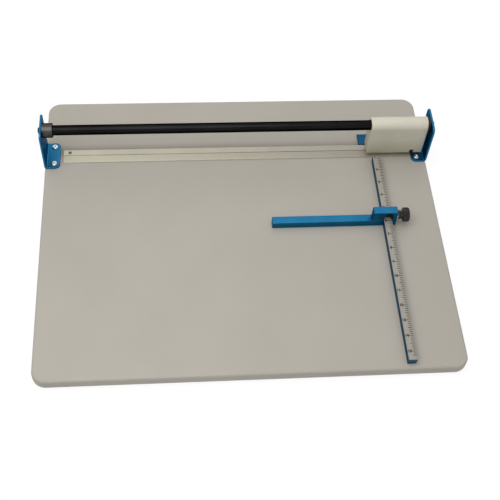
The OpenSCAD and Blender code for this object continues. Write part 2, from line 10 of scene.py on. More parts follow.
import bmesh
import bpy
import numpy as np
from mathutils import Matrix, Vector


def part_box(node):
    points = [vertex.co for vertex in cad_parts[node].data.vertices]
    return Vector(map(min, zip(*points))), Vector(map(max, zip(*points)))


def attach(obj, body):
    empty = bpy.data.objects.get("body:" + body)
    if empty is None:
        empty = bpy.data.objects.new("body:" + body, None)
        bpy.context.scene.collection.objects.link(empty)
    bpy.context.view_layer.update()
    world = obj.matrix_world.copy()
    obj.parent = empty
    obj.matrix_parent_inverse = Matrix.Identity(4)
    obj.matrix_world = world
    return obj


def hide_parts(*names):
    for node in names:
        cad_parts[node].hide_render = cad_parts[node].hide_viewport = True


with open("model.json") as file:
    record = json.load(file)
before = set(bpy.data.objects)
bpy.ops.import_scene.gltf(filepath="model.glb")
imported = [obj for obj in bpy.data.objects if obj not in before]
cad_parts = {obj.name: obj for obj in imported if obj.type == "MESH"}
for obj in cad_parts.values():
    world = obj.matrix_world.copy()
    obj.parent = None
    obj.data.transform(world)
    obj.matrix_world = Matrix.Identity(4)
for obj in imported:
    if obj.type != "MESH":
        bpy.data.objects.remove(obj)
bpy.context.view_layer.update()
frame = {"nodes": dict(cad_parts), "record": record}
MM = 0.001

# %% [markdown]
# ## Where things are
# The pieces take their places from the boxes of the nodes that they dress, so nothing here is
# measured twice. Only what a box can't tell, such as a plate's thickness, is written as a size.

# %% Places


def node_box(name):
    """The two corners of a node's box as arrays, in metres."""
    lo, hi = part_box(name)
    return np.array(lo), np.array(hi)


def middle(name):
    """The middle of a node's box."""
    lo, hi = node_box(name)
    return (lo + hi) / 2


def extent(name):
    """A node's length along X, Y and Z."""
    lo, hi = node_box(name)
    return hi - lo


deck_z = node_box("base_board")[1][2]
shaft_y, shaft_z = middle("guide_shaft")[1:]
shaft_radius = node_box("guide_shaft")[1][2] - shaft_z
track_lo, track_hi = node_box("crease_track")
block_lo, block_hi = node_box("carriage_block")
axle_x, _, axle_z = middle("crease_wheel")
stud_y, stud_z = middle("thumb_stud")[1:]
print("deck", round(deck_z, 4), "shaft", round(shaft_y, 4), round(shaft_z, 4), "axle", round(axle_x, 4))

# %% [markdown]
# ## Objects
# The camera, the lamps, the floor and every piece are objects linked to the scene. What is aimed at
# something gets its axes and its place as one matrix.

# %% Objects


def add_object(name, data):
    """A new object around its data, linked to the scene."""
    made = bpy.data.objects.new(name, data)
    bpy.context.scene.collection.objects.link(made)
    return made


def placed(axes, place):
    """The matrix that points an object's own X, Y and Z along the axes and moves it to its place."""
    turn = np.eye(4)
    turn[:3, :3] = np.array(axes).T
    turn[:3, 3] = place
    return Matrix(turn.tolist())


print("objects: linked and placed by", add_object.__name__, "and", placed.__name__)

# %% [markdown]
# ## The camera
# The photograph was taken from above and in front, a little to the left of the middle. A camera is a
# place and three angles: heading, tilt down, and roll. Its axes are worked out from those angles.

# %% Camera
CAMERA_PLACE = (-0.1061, -0.8426, 1.2096)
CAMERA_HEADING, CAMERA_TILT, CAMERA_ROLL = 8.17, 55.92, 5.23
CAMERA_LENS, CAMERA_SENSOR = 67.6, 36


def camera_axes(heading, tilt, roll):
    """Forward points along the heading and down by the tilt. Right lies level, square to it, and up is
    square to both. The roll then turns right and up about forward, right edge up."""
    h, t, r = np.radians([heading, tilt, roll])
    forward = np.array([math.sin(h) * math.cos(t), math.cos(h) * math.cos(t), -math.sin(t)])
    right = np.array([math.cos(h), -math.sin(h), 0.0])
    up = np.cross(right, forward)
    return right * math.cos(r) + up * math.sin(r), up * math.cos(r) - right * math.sin(r), -forward


camera = add_object("photo_camera", bpy.data.cameras.new("photo_camera"))
camera.data.lens, camera.data.sensor_width = CAMERA_LENS, CAMERA_SENSOR
camera.matrix_world = placed(camera_axes(CAMERA_HEADING, CAMERA_TILT, CAMERA_ROLL), CAMERA_PLACE)
bpy.context.scene.camera = camera
print("camera at", CAMERA_PLACE, "lens", CAMERA_LENS, "mm")

# %% [markdown]
# ## Shader helpers
# Every material, group and world below is a small tree of nodes. One helper makes a node, sets it up and
# feeds its inputs, each with a value or from another node's socket.

# %% Shader helpers


def node_tree(owner):
    """The owner's shader tree, emptied."""
    owner.use_nodes = True
    owner.node_tree.nodes.clear()
    return owner.node_tree


def add_node(tree, kind, inputs=None, **settings):
    """A node with its settings. Each input is given a value, or the socket that feeds it."""
    node = tree.nodes.new(kind)
    for name, value in settings.items():
        setattr(node, name, value)
    for label, value in (inputs or {}).items():
        if isinstance(value, bpy.types.NodeSocket):
            tree.links.new(value, node.inputs[label])
        else:
            node.inputs[label].default_value = value
    return node


def opaque(colour):
    """A colour of red, green and blue with the fourth number that Blender asks for."""
    return (*colour, 1)


def calculated(tree, operation, first, second=0.5):
    """The result of one sum. The second value counts only where the operation takes two."""
    return add_node(tree, "ShaderNodeMath", {0: first, 1: second}, operation=operation).outputs["Value"]


def mix_colours(tree, factor, first, second):
    """Two colours mixed by a factor."""
    inputs = {"Factor": factor, "A": first, "B": second}
    return add_node(tree, "ShaderNodeMix", inputs, data_type="RGBA").outputs["Result"]


def mix_shaders(tree, factor, first, second):
    """Two shaders mixed by a factor."""
    return add_node(tree, "ShaderNodeMixShader", {"Fac": factor, 1: first, 2: second}).outputs["Shader"]


def seen_directly(tree):
    """1 for the rays by which the camera, a gloss or a glass looks at a thing, and 0 for its light."""
    path = add_node(tree, "ShaderNodeLightPath").outputs
    seen = calculated(tree, "MAXIMUM", path["Is Camera Ray"], path["Is Glossy Ray"])
    return calculated(tree, "MAXIMUM", seen, path["Is Transmission Ray"])


print("shader helpers: a node, a sum, two mixes and the rays that look")

# %% [markdown]
# ## Light
# The pale surfaces show a broad light from the front left, and the tops of the blue pieces mirror something
# bright behind the machine. So a soft box hangs at the front left and a dimmer window stands at the back.
# The room lights from above and hardly from the side, and it looks white to the camera and to a gloss.

# %% Light
ROOM_ZENITH, ROOM_HORIZON = 0.66, 0.10
WHITE = (1, 1, 1)
LIGHT_AIM = (0.0, 0.05, 0.0)
SOFTBOX_PLACE, SOFTBOX_SIZE, SOFTBOX_POWER = (-0.40, -0.28, 1.52), 1.6, 14.4
WINDOW_PLACE, WINDOW_SIZE, WINDOW_POWER = (0.25, 1.15, 1.35), 1.3, 1.5
bpy.context.scene.view_settings.view_transform = "Standard"


def add_world(zenith, horizon):
    """The room lights by the height of the direction, brightest straight above. It looks plain white."""
    world = bpy.data.worlds.new("studio")
    bpy.context.scene.world = world
    tree = node_tree(world)
    direction = add_node(tree, "ShaderNodeTexCoord").outputs["Generated"]
    height = add_node(tree, "ShaderNodeSeparateXYZ", {"Vector": direction}).outputs["Z"]
    fade = add_node(tree, "ShaderNodeMapRange", {"Value": height, "To Min": horizon, "To Max": zenith})
    light, white = (
        add_node(tree, "ShaderNodeBackground", {"Color": opaque(WHITE), "Strength": strength}).outputs["Background"]
        for strength in (fade.outputs["Result"], 1))
    add_node(tree, "ShaderNodeOutputWorld", {"Surface": mix_shaders(tree, seen_directly(tree), light, white)})


def add_softbox(name, place, size, power):
    """A round lamp whose back points away from the aim."""
    data = bpy.data.lights.new(name, "AREA")
    data.shape, data.size, data.energy = "DISK", size, power
    back = np.array(place, float) - np.array(LIGHT_AIM, float)
    back /= np.linalg.norm(back)
    right = np.cross((0.0, 1.0, 0.0), back)
    right /= np.linalg.norm(right)
    add_object(name, data).matrix_world = placed([right, np.cross(back, right), back], place)


add_world(ROOM_ZENITH, ROOM_HORIZON)
add_softbox("overhead_softbox", SOFTBOX_PLACE, SOFTBOX_SIZE, SOFTBOX_POWER)
add_softbox("rear_window", WINDOW_PLACE, WINDOW_SIZE, WINDOW_POWER)
print("room", ROOM_ZENITH, "to", ROOM_HORIZON, "soft box", SOFTBOX_POWER, "W, window", WINDOW_POWER, "W")

# %% [markdown]
# ## Floor
# The machine stands on white paper. The paper is white where the camera, a gloss or a glass looks at it,
# and grey for the light that it throws back up, so that the machine's sides keep their shade. A part of
# that white glows by itself, which leaves only a faint shadow under the board.

# %% Floor
FLOOR_HALF_WIDTH = 6.0
FLOOR_DROP = 0.2 * MM
PAPER_WHITE, PAPER_GREY = (0.95, 0.95, 0.95), (0.8, 0.8, 0.8)
GLOW_STRENGTH, GLOW_SHARE = 1.06, 0.85


def add_floor():
    """One large square just under the feet."""
    corners = np.array([(-1, -1), (1, -1), (1, 1), (-1, 1)], float) * FLOOR_HALF_WIDTH
    mesh = bpy.data.meshes.new("floor")
    mesh.from_pydata(np.c_[corners, np.full(4, -FLOOR_DROP)].tolist(), [], [(0, 1, 2, 3)])
    material = bpy.data.materials.new("white_floor")
    tree = node_tree(material)
    paper, dim = (add_node(tree, "ShaderNodeBsdfDiffuse", {"Color": opaque(colour)}).outputs["BSDF"]
                  for colour in (PAPER_WHITE, PAPER_GREY))
    glow = add_node(tree, "ShaderNodeEmission", {"Strength": GLOW_STRENGTH}).outputs["Emission"]
    white = mix_shaders(tree, GLOW_SHARE, paper, glow)
    add_node(tree, "ShaderNodeOutputMaterial", {"Surface": mix_shaders(tree, seen_directly(tree), dim, white)})
    mesh.materials.append(material)
    add_object("floor", mesh)


add_floor()
print("floor:", 2 * FLOOR_HALF_WIDTH, "m square")

# %% [markdown]
# ## Shared effects
# Every finish is a Principled shader with its own colour change, grain and gloss. What several finishes
# share is a node group: a mottle that varies a colour, a grain that drives a bump, an edge mask whose
# colour stands for wear and is also a painted highlight along the edges, and a painted shade that darkens
# beside a plane.

# %% Group helper


def new_group(name, inputs, outputs):
    """A shader node group with named sockets, the sockets that bring its inputs, and those that take its
    outputs. Inputs are (name, kind, default) and outputs (name, kind)."""
    group = bpy.data.node_groups.new(name, "ShaderNodeTree")
    for label, kind, default in inputs:
        socket = group.interface.new_socket(name=label, in_out="INPUT", socket_type=kind)
        socket.default_value = default
    for label, kind in outputs:
        group.interface.new_socket(name=label, in_out="OUTPUT", socket_type=kind)
    return group, group.nodes.new("NodeGroupInput").outputs, group.nodes.new("NodeGroupOutput").inputs


print("groups are made by", new_group.__name__)

# %% [markdown]
# The mottle mixes two colours by soft noise. No real sheet or casting is one flat colour, and two close
# colours in slow clouds look right from near and far.

# %% Mottle


def make_mottle_group():
    """Clouds of noise, with their middle range stretched to a mask between the two colours."""
    group, given, result = new_group(
        "mottle",
        [("Colour A", "NodeSocketColor", (0.5, 0.5, 0.5, 1)), ("Colour B", "NodeSocketColor", (0.4, 0.4, 0.4, 1)),
         ("Scale", "NodeSocketFloat", 20.0)],
        [("Colour", "NodeSocketColor"), ("Mask", "NodeSocketFloat")])
    place = add_node(group, "ShaderNodeTexCoord").outputs["Object"]
    noise = add_node(group, "ShaderNodeTexNoise", {"Vector": place, "Scale": given["Scale"], "Detail": 5})
    ramp = add_node(group, "ShaderNodeMapRange", {"Value": noise.outputs["Fac"], "From Min": 0.35, "From Max": 0.65})
    mask = ramp.outputs["Result"]
    group.links.new(mix_colours(group, mask, given["Colour A"], given["Colour B"]), result["Colour"])
    group.links.new(mask, result["Mask"])
    return group


MOTTLE = make_mottle_group()
print("group:", MOTTLE.name)

# %% [markdown]
# The grain is fine noise whose axes can be stretched: even for a moulded skin, and drawn out along one
# axis for a metal that came through a die or off a lathe.

# %% Grain


def make_grain_group():
    """Noise over the place times the stretch, as a height."""
    group, given, result = new_group(
        "grain",
        [("Stretch", "NodeSocketVector", (1.0, 1.0, 1.0)), ("Scale", "NodeSocketFloat", 800.0)],
        [("Height", "NodeSocketFloat")])
    place = add_node(group, "ShaderNodeTexCoord").outputs["Object"]
    drawn = add_node(group, "ShaderNodeVectorMath", {0: place, 1: given["Stretch"]}, operation="MULTIPLY")
    noise = add_node(group, "ShaderNodeTexNoise", {
        "Vector": drawn.outputs["Vector"], "Scale": given["Scale"], "Detail": 3})
    group.links.new(noise.outputs["Fac"], result["Height"])
    return group


GRAIN = make_grain_group()
print("group:", GRAIN.name)

# %% [markdown]
# The edge mask compares the surface's own direction with the direction averaged over a small radius. They
# agree on a flat face and part at an edge, so their difference is a mask of the edges. The colour mixed in
# by it stands for wear and is also a painted highlight where a rounded edge would catch the light.

# %% Edge wear and painted highlight
EDGE_MASK_SAMPLES = 4


def make_rub_group():
    """The cosine between the two directions, turned into a mask, times the amount."""
    group, given, result = new_group(
        "edge_wear_and_highlight", [("Radius", "NodeSocketFloat", 0.0006), ("Amount", "NodeSocketFloat", 0.5)],
        [("Mask", "NodeSocketFloat")])
    around = add_node(group, "ShaderNodeBevel", {"Radius": given["Radius"]}, samples=EDGE_MASK_SAMPLES).outputs["Normal"]
    here = add_node(group, "ShaderNodeNewGeometry").outputs["Normal"]
    agree = add_node(group, "ShaderNodeVectorMath", {0: around, 1: here}, operation="DOT_PRODUCT")
    part = add_node(group, "ShaderNodeMapRange", {"Value": agree.outputs["Value"], "From Min": 0.99, "From Max": 0.80})
    group.links.new(calculated(group, "MULTIPLY", part.outputs["Result"], given["Amount"]), result["Mask"])
    return group


EDGE_WEAR_AND_HIGHLIGHT = make_rub_group()
print("group:", EDGE_WEAR_AND_HIGHLIGHT.name)

# %% [markdown]
# The painted shade measures how far a point lies from a plane that is square to one axis. It is full next
# to the plane and fades out at a distance, which darkens a surface along an edge or towards an end as
# painted shade.

# %% Painted shade


def make_stain_group():
    """The distance is the place along the axis less the plane's place, without its sign. The mask falls
    from 1 to 0 between the near and the far distance."""
    group, given, result = new_group(
        "painted_shade",
        [("Axis", "NodeSocketVector", (0.0, 0.0, 1.0)), ("Plane", "NodeSocketFloat", 0.0),
         ("Near", "NodeSocketFloat", 0.0), ("Far", "NodeSocketFloat", 0.01)],
        [("Mask", "NodeSocketFloat")])
    place = add_node(group, "ShaderNodeTexCoord").outputs["Object"]
    along = add_node(group, "ShaderNodeVectorMath", {0: place, 1: given["Axis"]}, operation="DOT_PRODUCT")
    offset = calculated(group, "SUBTRACT", along.outputs["Value"], given["Plane"])
    fade = add_node(group, "ShaderNodeMapRange", {
        "Value": calculated(group, "ABSOLUTE", offset), "From Min": given["Near"], "From Max": given["Far"],
        "To Min": 1, "To Max": 0})
    group.links.new(fade.outputs["Result"], result["Mask"])
    return group


PAINTED_SHADE = make_stain_group()
print("group:", PAINTED_SHADE.name)

# %% [markdown]
# ## Finishes
# One recipe makes all the finishes: two mottled colours, gloss that follows the mottle, grain in the
# bump, an edge mask that lightens the edges as wear and painted highlight, and painted shade near a plane.
# Each finish gives its own values.

# %% Finish recipe
FINISHES = {}
GRAIN_RELIEF = 0.2 * MM


def finish(name, colours, rough, metal=0.0, mottle_scale=25.0, grain_scale=900.0, stretch=(1, 1, 1),
           bump=0.05, rough_spread=0.08, coat=0.0, wear_and_highlight_colour=None, wear_and_highlight=0.3, specular=0.5, glancing=WHITE,
           painted_shade=None):
    """A Principled finish. The edge wear and highlight colour is mixed into the edges by at most its amount; it
    stands for wear and is also a painted highlight. Glancing is the tint of a metal's gloss where it is seen
    nearly edge on. Painted shade is a colour, an axis, a plane's place along it, and the two distances from
    the plane between which the painted shade fades."""
    FINISHES[name] = material = bpy.data.materials.new(name)
    tree = node_tree(material)
    mottle = add_node(tree, "ShaderNodeGroup", {
        "Colour A": opaque(colours[0]), "Colour B": opaque(colours[1]), "Scale": mottle_scale}, node_tree=MOTTLE)
    colour = mottle.outputs["Colour"]
    # Painted shade: a darker colour mixed in near a plane, where the surface lies in shade.
    if painted_shade:
        plane = dict(zip(("Axis", "Plane", "Near", "Far"), painted_shade[1:]))
        painted_shade_node = add_node(tree, "ShaderNodeGroup", plane, node_tree=PAINTED_SHADE)
        colour = mix_colours(tree, painted_shade_node.outputs["Mask"], colour, opaque(painted_shade[0]))
    # Edge wear and painted highlight: a lighter colour mixed in along the edges.
    if wear_and_highlight_colour:
        edges = add_node(tree, "ShaderNodeGroup", {"Amount": wear_and_highlight}, node_tree=EDGE_WEAR_AND_HIGHLIGHT)
        colour = mix_colours(tree, edges.outputs["Mask"], colour, opaque(wear_and_highlight_colour))
    gloss = add_node(tree, "ShaderNodeMapRange", {
        "Value": mottle.outputs["Mask"], "To Min": rough - rough_spread / 2, "To Max": rough + rough_spread / 2})
    grain = add_node(tree, "ShaderNodeGroup", {"Stretch": stretch, "Scale": grain_scale}, node_tree=GRAIN)
    relief = add_node(tree, "ShaderNodeBump", {
        "Strength": bump, "Distance": GRAIN_RELIEF, "Height": grain.outputs["Height"]})
    skin = add_node(tree, "ShaderNodeBsdfPrincipled", {
        "Base Color": colour, "Metallic": metal, "Roughness": gloss.outputs["Result"], "Specular IOR Level": specular,
        "Specular Tint": opaque(glancing), "Coat Weight": coat, "Normal": relief.outputs["Normal"]})
    add_node(tree, "ShaderNodeOutputMaterial", {"Surface": skin.outputs["BSDF"]})


print("finish recipe with", len(finish.__defaults__), "values that a finish may set")

# %% [markdown]
# ## Board and paper colours
# The board is a pale warm grey laminate with a fine satin skin. The block and the washer are off-white
# plastic, machined and then left plain. Low down the block is painted darker and yellower, as painted shade
# with the warm light thrown up by the board, and the board is painted darker along the back of the track
# as painted shade.

# %% Board, plastic and rubber
ALONG_X, ALONG_Y, ALONG_Z = (1, 0, 0), (0, 1, 0), (0, 0, 1)
# Painted shade: the board darkens within 15 mm of the track's back edge.
finish("board_laminate", [(0.452, 0.420, 0.366), (0.436, 0.404, 0.350)], 0.52, mottle_scale=9.0,
       grain_scale=1400.0, bump=0.14, wear_and_highlight_colour=(0.50, 0.46, 0.38), wear_and_highlight=0.15,
       painted_shade=((0.27, 0.25, 0.205), ALONG_Y, track_hi[1], 0, 15 * MM))
# Painted shade: the block darkens and yellows towards its bottom, for less light from above and warm light from the
# board.
finish("white_plastic", [(0.70, 0.665, 0.55), (0.67, 0.635, 0.52)], 0.46, mottle_scale=40.0,
       stretch=(0.15, 1, 1), bump=0.12, wear_and_highlight_colour=(0.68, 0.66, 0.60), wear_and_highlight=0.4,
       painted_shade=((0.55, 0.515, 0.37), ALONG_Z, block_lo[2], 0, 32 * MM))
finish("foot_rubber", [(0.018, 0.018, 0.018), (0.028, 0.027, 0.026)], 0.78, bump=0.35, rough_spread=0.15,
       wear_and_highlight_colour=(0.06, 0.06, 0.06), wear_and_highlight=0.5)
# The knob's light edge colour is a painted highlight on its flute lands and edges.
finish("black_plastic", [(0.004, 0.004, 0.004), (0.007, 0.007, 0.006)], 0.24, mottle_scale=60.0, bump=0.12,
       wear_and_highlight_colour=(0.32, 0.31, 0.28), wear_and_highlight=0.85, specular=0.35)
print("finishes:", ", ".join(FINISHES))

# %% [markdown]
# ## The blue and the metals
# The brackets and the stop are satin blue over metal. The strip behind the track and the ruler bar
# have darker copies of the blue as painted shade: the strip where the shaft and the block shade it, the
# ruler for its shaded sides. The shaft is black and smooth, the track is drawn aluminium with lines along
# its length and painted shade that darkens it towards its right end, and the small screws are bright zinc.

# %% Blue and metals
DRAWN_ALONG_X = (0.02, 1, 1)
BLUE = {"mottle_scale": 35.0, "bump": 0.16, "wear_and_highlight": 0.4, "glancing": (0.30, 0.45, 0.60)}
finish("blue_finish", [(0.0195, 0.154, 0.295), (0.0165, 0.141, 0.275)], 0.32, metal=0.92,
       wear_and_highlight_colour=(0.045, 0.21, 0.37), **BLUE)
# Painted shade: a darker copy of the blue for the park strip, which the shaft and the block shade.
finish("shaded_blue", [(0.014, 0.070, 0.135), (0.012, 0.062, 0.122)], 0.38, metal=0.92,
       wear_and_highlight_colour=(0.05, 0.16, 0.26), **BLUE)
# Painted shade: a darker, greyer copy of the blue for the ruler bar, whose sides lie in shade.
finish("ruler_blue", [(0.050, 0.115, 0.180), (0.044, 0.104, 0.165)], 0.42, metal=0.75,
       wear_and_highlight_colour=(0.10, 0.18, 0.26), **BLUE)
finish("black_shaft", [(0.009, 0.009, 0.009), (0.012, 0.012, 0.012)], 0.20, metal=1.0, stretch=DRAWN_ALONG_X,
       bump=0.04, glancing=(0.03, 0.03, 0.03))
finish("black_fasteners", [(0.006, 0.006, 0.006), (0.010, 0.010, 0.010)], 0.34,
       wear_and_highlight_colour=(0.06, 0.06, 0.06), wear_and_highlight=0.5, specular=0.3)
finish("dark_steel", [(0.077, 0.074, 0.067), (0.064, 0.061, 0.056)], 0.34, metal=0.95, bump=0.2,
       stretch=(1, 0.1, 0.1), wear_and_highlight_colour=(0.24, 0.23, 0.20), wear_and_highlight=0.5, glancing=(0.15, 0.15, 0.15))
# Painted shade: the track darkens from its left end towards its right end.
finish("track_aluminium", [(0.600, 0.560, 0.440), (0.565, 0.530, 0.420)], 0.42, metal=0.35,
       stretch=DRAWN_ALONG_X, bump=0.3, rough_spread=0.14, wear_and_highlight_colour=(0.66, 0.64, 0.58), wear_and_highlight=0.5,
       painted_shade=((0.385, 0.36, 0.295), ALONG_X, track_hi[0], 60 * MM, 540 * MM))
finish("zinc_screws", [(0.74, 0.73, 0.70), (0.62, 0.62, 0.60)], 0.26, metal=1.0, mottle_scale=300.0,
       wear_and_highlight_colour=(0.86, 0.85, 0.82), wear_and_highlight=0.5)
finish("aged_screws", [(0.20, 0.175, 0.14), (0.15, 0.135, 0.11)], 0.48, metal=0.9, mottle_scale=400.0,
       wear_and_highlight_colour=(0.30, 0.28, 0.24), wear_and_highlight=0.5)
finish("wheel_steel", [(0.55, 0.55, 0.54), (0.47, 0.47, 0.47)], 0.28, metal=1.0, stretch=(1, 12, 1), bump=0.1,
       wear_and_highlight_colour=(0.75, 0.75, 0.74), wear_and_highlight=0.4)
finish("bronze", [(0.50, 0.33, 0.15), (0.38, 0.25, 0.12)], 0.45, metal=1.0, mottle_scale=400.0, bump=0.4,
       wear_and_highlight_colour=(0.66, 0.47, 0.25), wear_and_highlight=0.5)
finish("printed_tape", [(0.36, 0.335, 0.285), (0.33, 0.31, 0.26)], 0.42, mottle_scale=80.0, coat=0.15)
finish("tape_print", [(0.020, 0.019, 0.018), (0.032, 0.030, 0.027)], 0.5, mottle_scale=900.0)
for row in frame["record"]["subparts"]:
    part = frame["nodes"][row["node"]]
    part.data.materials.clear()
    part.data.materials.append(FINISHES[row["material_slot"]])
print(len(FINISHES), "finishes on", len(frame["nodes"]), "nodes")

# %% [markdown]
# ## From a grid to a piece
# Every new piece is one or more grids of points. Rings of the grid follow each other along the piece,
# and each ring goes once round it. One helper turns grids into a mesh, merges the seams, points the
# faces outwards and softens the shading, and another cuts holes with a Boolean that is applied at once.

# %% Mesh helpers
SMOOTH_ANGLE = math.radians(32)
SAME_POINT, NO_AREA = 0.002 * MM, 0.001 * MM
BEVEL_STEPS = 2
CAPS, POLES, LOOP = "flat ends", "closed at a point", "joined end to end"


def ring_faces(rows, columns, first, loop):
    """Quads between neighbouring rings: point (i, j) of the grid has the number first + i * columns + j."""
    i, j = np.meshgrid(np.arange(rows if loop else rows - 1), np.arange(columns), indexing="ij")
    i_next, j_next = (i + 1) % rows, (j + 1) % columns
    quads = [i * columns + j, i * columns + j_next, i_next * columns + j_next, i_next * columns + j]
    return first + np.stack(quads, -1).reshape(-1, 4)


def grid_mesh(name, grids):
    """One mesh from several (grid, ending) pairs. A grid has the shape rings, points of a ring, 3."""
    points, faces, first = [], [], 0
    for grid, ending in grids:
        rows, columns = grid.shape[:2]
        points.append(grid.reshape(-1, 3))
        faces += ring_faces(rows, columns, first, ending == LOOP).tolist()
        if ending == CAPS:
            ring = np.arange(columns)
            faces += [(first + ring).tolist(), (first + (rows - 1) * columns + ring).tolist()]
        first += rows * columns
    mesh = bpy.data.meshes.new(name)
    mesh.from_pydata(np.concatenate(points).tolist(), [], faces)
    return mesh


def tidy(mesh):
    """Merges doubled points, removes faces without area and points all faces outwards."""
    shape = bmesh.new()
    shape.from_mesh(mesh)
    bmesh.ops.remove_doubles(shape, verts=shape.verts, dist=SAME_POINT)
    bmesh.ops.dissolve_degenerate(shape, edges=shape.edges, dist=NO_AREA)
    bmesh.ops.recalc_face_normals(shape, faces=shape.faces)
    shape.to_mesh(mesh)
    shape.free()


def evaluated_mesh(piece):
    """The piece's mesh with its modifiers applied."""
    bpy.context.view_layer.update()
    return bpy.data.meshes.new_from_object(piece.evaluated_get(bpy.context.evaluated_depsgraph_get()))


def cut(piece, grids):
    """Takes the solids of the grids away from the piece."""
    cutter = add_object("cutter", grid_mesh("cutter", grids))
    tidy(cutter.data)
    boolean = piece.modifiers.new("cut", "BOOLEAN")
    boolean.operation, boolean.solver, boolean.object = "DIFFERENCE", "EXACT", cutter
    mesh = evaluated_mesh(piece)
    piece.modifiers.clear()
    piece.data = mesh
    bpy.data.objects.remove(cutter)


def add_piece(name, grids, slot, body, replaces=(), holes=(), soften=0.0, finish_name=None):
    """A finished piece: meshed, holed, softened along its sharp edges, painted, and riding on its body."""
    piece = add_object(name, grid_mesh(name, grids))
    tidy(piece.data)
    if holes:
        cut(piece, holes)
        tidy(piece.data)
    piece.data.shade_smooth()
    piece.data.set_sharp_from_angle(angle=SMOOTH_ANGLE)
    if soften:
        bevel = piece.modifiers.new("soft edges", "BEVEL")
        bevel.width, bevel.segments, bevel.limit_method = soften, BEVEL_STEPS, "ANGLE"
        bevel.angle_limit, bevel.harden_normals = SMOOTH_ANGLE, True
    piece.data.materials.clear()
    piece.data.materials.append(FINISHES[finish_name or slot])
    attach(piece, body)
    if replaces:
        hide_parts(*replaces)
    print(name, len(piece.data.polygons), "faces")


print("mesh helpers: a mesh from grids, its tidying, holes, and the finished piece by", add_piece.__name__)

# %% [markdown]
# ## Four kinds of surface
# Nearly all of the machine is turned, sawn from bar or cut from sheet. So four surfaces are enough: a
# turned one, a stack of flat rings, a bar with soft edges, and a flat shape pushed along an axis. Holes
# are cut by a turned one too, a plain rod.

# %% Turned and straight surfaces
LEAST_RADIUS = 1e-7
HOLE_SIDES = 32
BAR_EDGE, CUT_EDGE = 0.5 * MM, 0.15 * MM


def lay(grid, axis, origin, sign=1):
    """Turns a grid made about Z so that its Z runs along the given axis from the origin. The axes change
    places in a circle, which keeps the shape right-handed, and a sign of -1 points it the other way."""
    x, y, z = np.moveaxis(grid, -1, 0)
    z = z * sign
    order = {"x": (z, x, y), "y": (y, z, x), "z": (x, y, z)}[axis]
    return np.stack(order, -1) + np.asarray(origin)


def turned(rows, sides=48):
    """Point (i, j) stands at angle j, at the radius and height of row i. A radius may be an array over the
    angles, which gives flats, flutes or sockets."""
    angle = np.linspace(0, 2 * np.pi, sides, endpoint=False)
    radius = np.stack([np.broadcast_to(r, sides) for r, z in rows])
    height = np.array([z for r, z in rows])[:, None] + np.zeros(sides)
    return np.stack([radius * np.cos(angle), radius * np.sin(angle), height], -1)


def spun(rows, axis, origin, sign=1, sides=48, ending=POLES):
    """A turned grid laid along an axis, with its ending."""
    return lay(turned(rows, sides), axis, origin, sign), ending


def stacked(rings, heights):
    """Flat rings as one grid, each lifted to its own height."""
    rings = np.stack(rings)
    lift = np.asarray(heights, float)[:, None, None] + np.zeros((*rings.shape[:2], 1))
    return np.concatenate([rings, lift], -1)


def corner_arc(centre_r, centre_z, radius, start, stop, steps=5):
    """Rows of a turned profile on an arc about (centre_r, centre_z), angles in degrees from outwards to up."""
    t = np.radians(np.linspace(start, stop, steps + 1))
    return list(zip(centre_r + radius * np.cos(t), centre_z + radius * np.sin(t)))


def rounded_rectangle(width, depth, radius, steps=6):
    """Outline round the origin: a quarter arc about each corner's own centre, joined by straight sides."""
    t = np.linspace(0, np.pi / 2, steps + 1)
    quarter = np.arange(4)[:, None] * np.pi / 2 + t
    sign_x, sign_y = np.array([1, -1, -1, 1])[:, None], np.array([1, 1, -1, -1])[:, None]
    x = sign_x * (width / 2 - radius) + radius * np.cos(quarter)
    y = sign_y * (depth / 2 - radius) + radius * np.sin(quarter)
    return np.stack([x.ravel(), y.ravel()], -1)


def soft_bar(lo, hi, axis, edge, steps=4):
    """A straight bar between two corners. Its section is a rounded rectangle, and near each end it shrinks
    on a quarter arc of the same radius, so all twelve edges are round."""
    lo, hi = np.asarray(lo), np.asarray(hi)
    across = {"x": (1, 2), "y": (2, 0), "z": (0, 1)}[axis]
    size = (hi - lo)[list(across)]
    length = (hi - lo)["xyz".index(axis)]
    t = np.linspace(0, np.pi / 2, steps + 1)
    along = np.r_[edge * (1 - np.cos(t)), length - edge * (1 - np.cos(t[::-1]))]
    inset = np.r_[edge * (1 - np.sin(t)), edge * (1 - np.sin(t[::-1]))]
    rings = [rounded_rectangle(*(size - 2 * i), edge - i + LEAST_RADIUS) for i in inset]
    start = (lo + hi) / 2
    start["xyz".index(axis)] = lo["xyz".index(axis)]
    return lay(stacked(rings, along), axis, start), CAPS


def pushed(outline, axis, start, stop):
    """A flat outline, in the two axes that follow the given one in the circle x, y, z, pushed along it."""
    return lay(stacked([outline, outline], [start, stop]), axis, (0, 0, 0)), CAPS


def rod(radius, length, axis, origin, sign=1):
    """A plain round rod, by which the holes are cut."""
    return spun([(0, 0), (radius, 0), (radius, length), (0, length)], axis, origin, sign, HOLE_SIDES)


print("surfaces: turned, stacked rings, soft bar, pushed outline, rod")

# %% [markdown]
# ## Board
# The real board is one slab with round corners and rounded edges. Rings of a rounded rectangle, each
# moved in by the edge's arc, give it as one closed surface. The screws of the ruler enter it from below
# in counterbores, which are cut.

# %% Board
BOARD_CORNER = 20 * MM
BOARD_EDGE = 4 * MM
COUNTERBORE, COUNTERBORE_DEPTH = 4.1 * MM, 6 * MM
RULER_SCREW_HOLE = 2.02 * MM


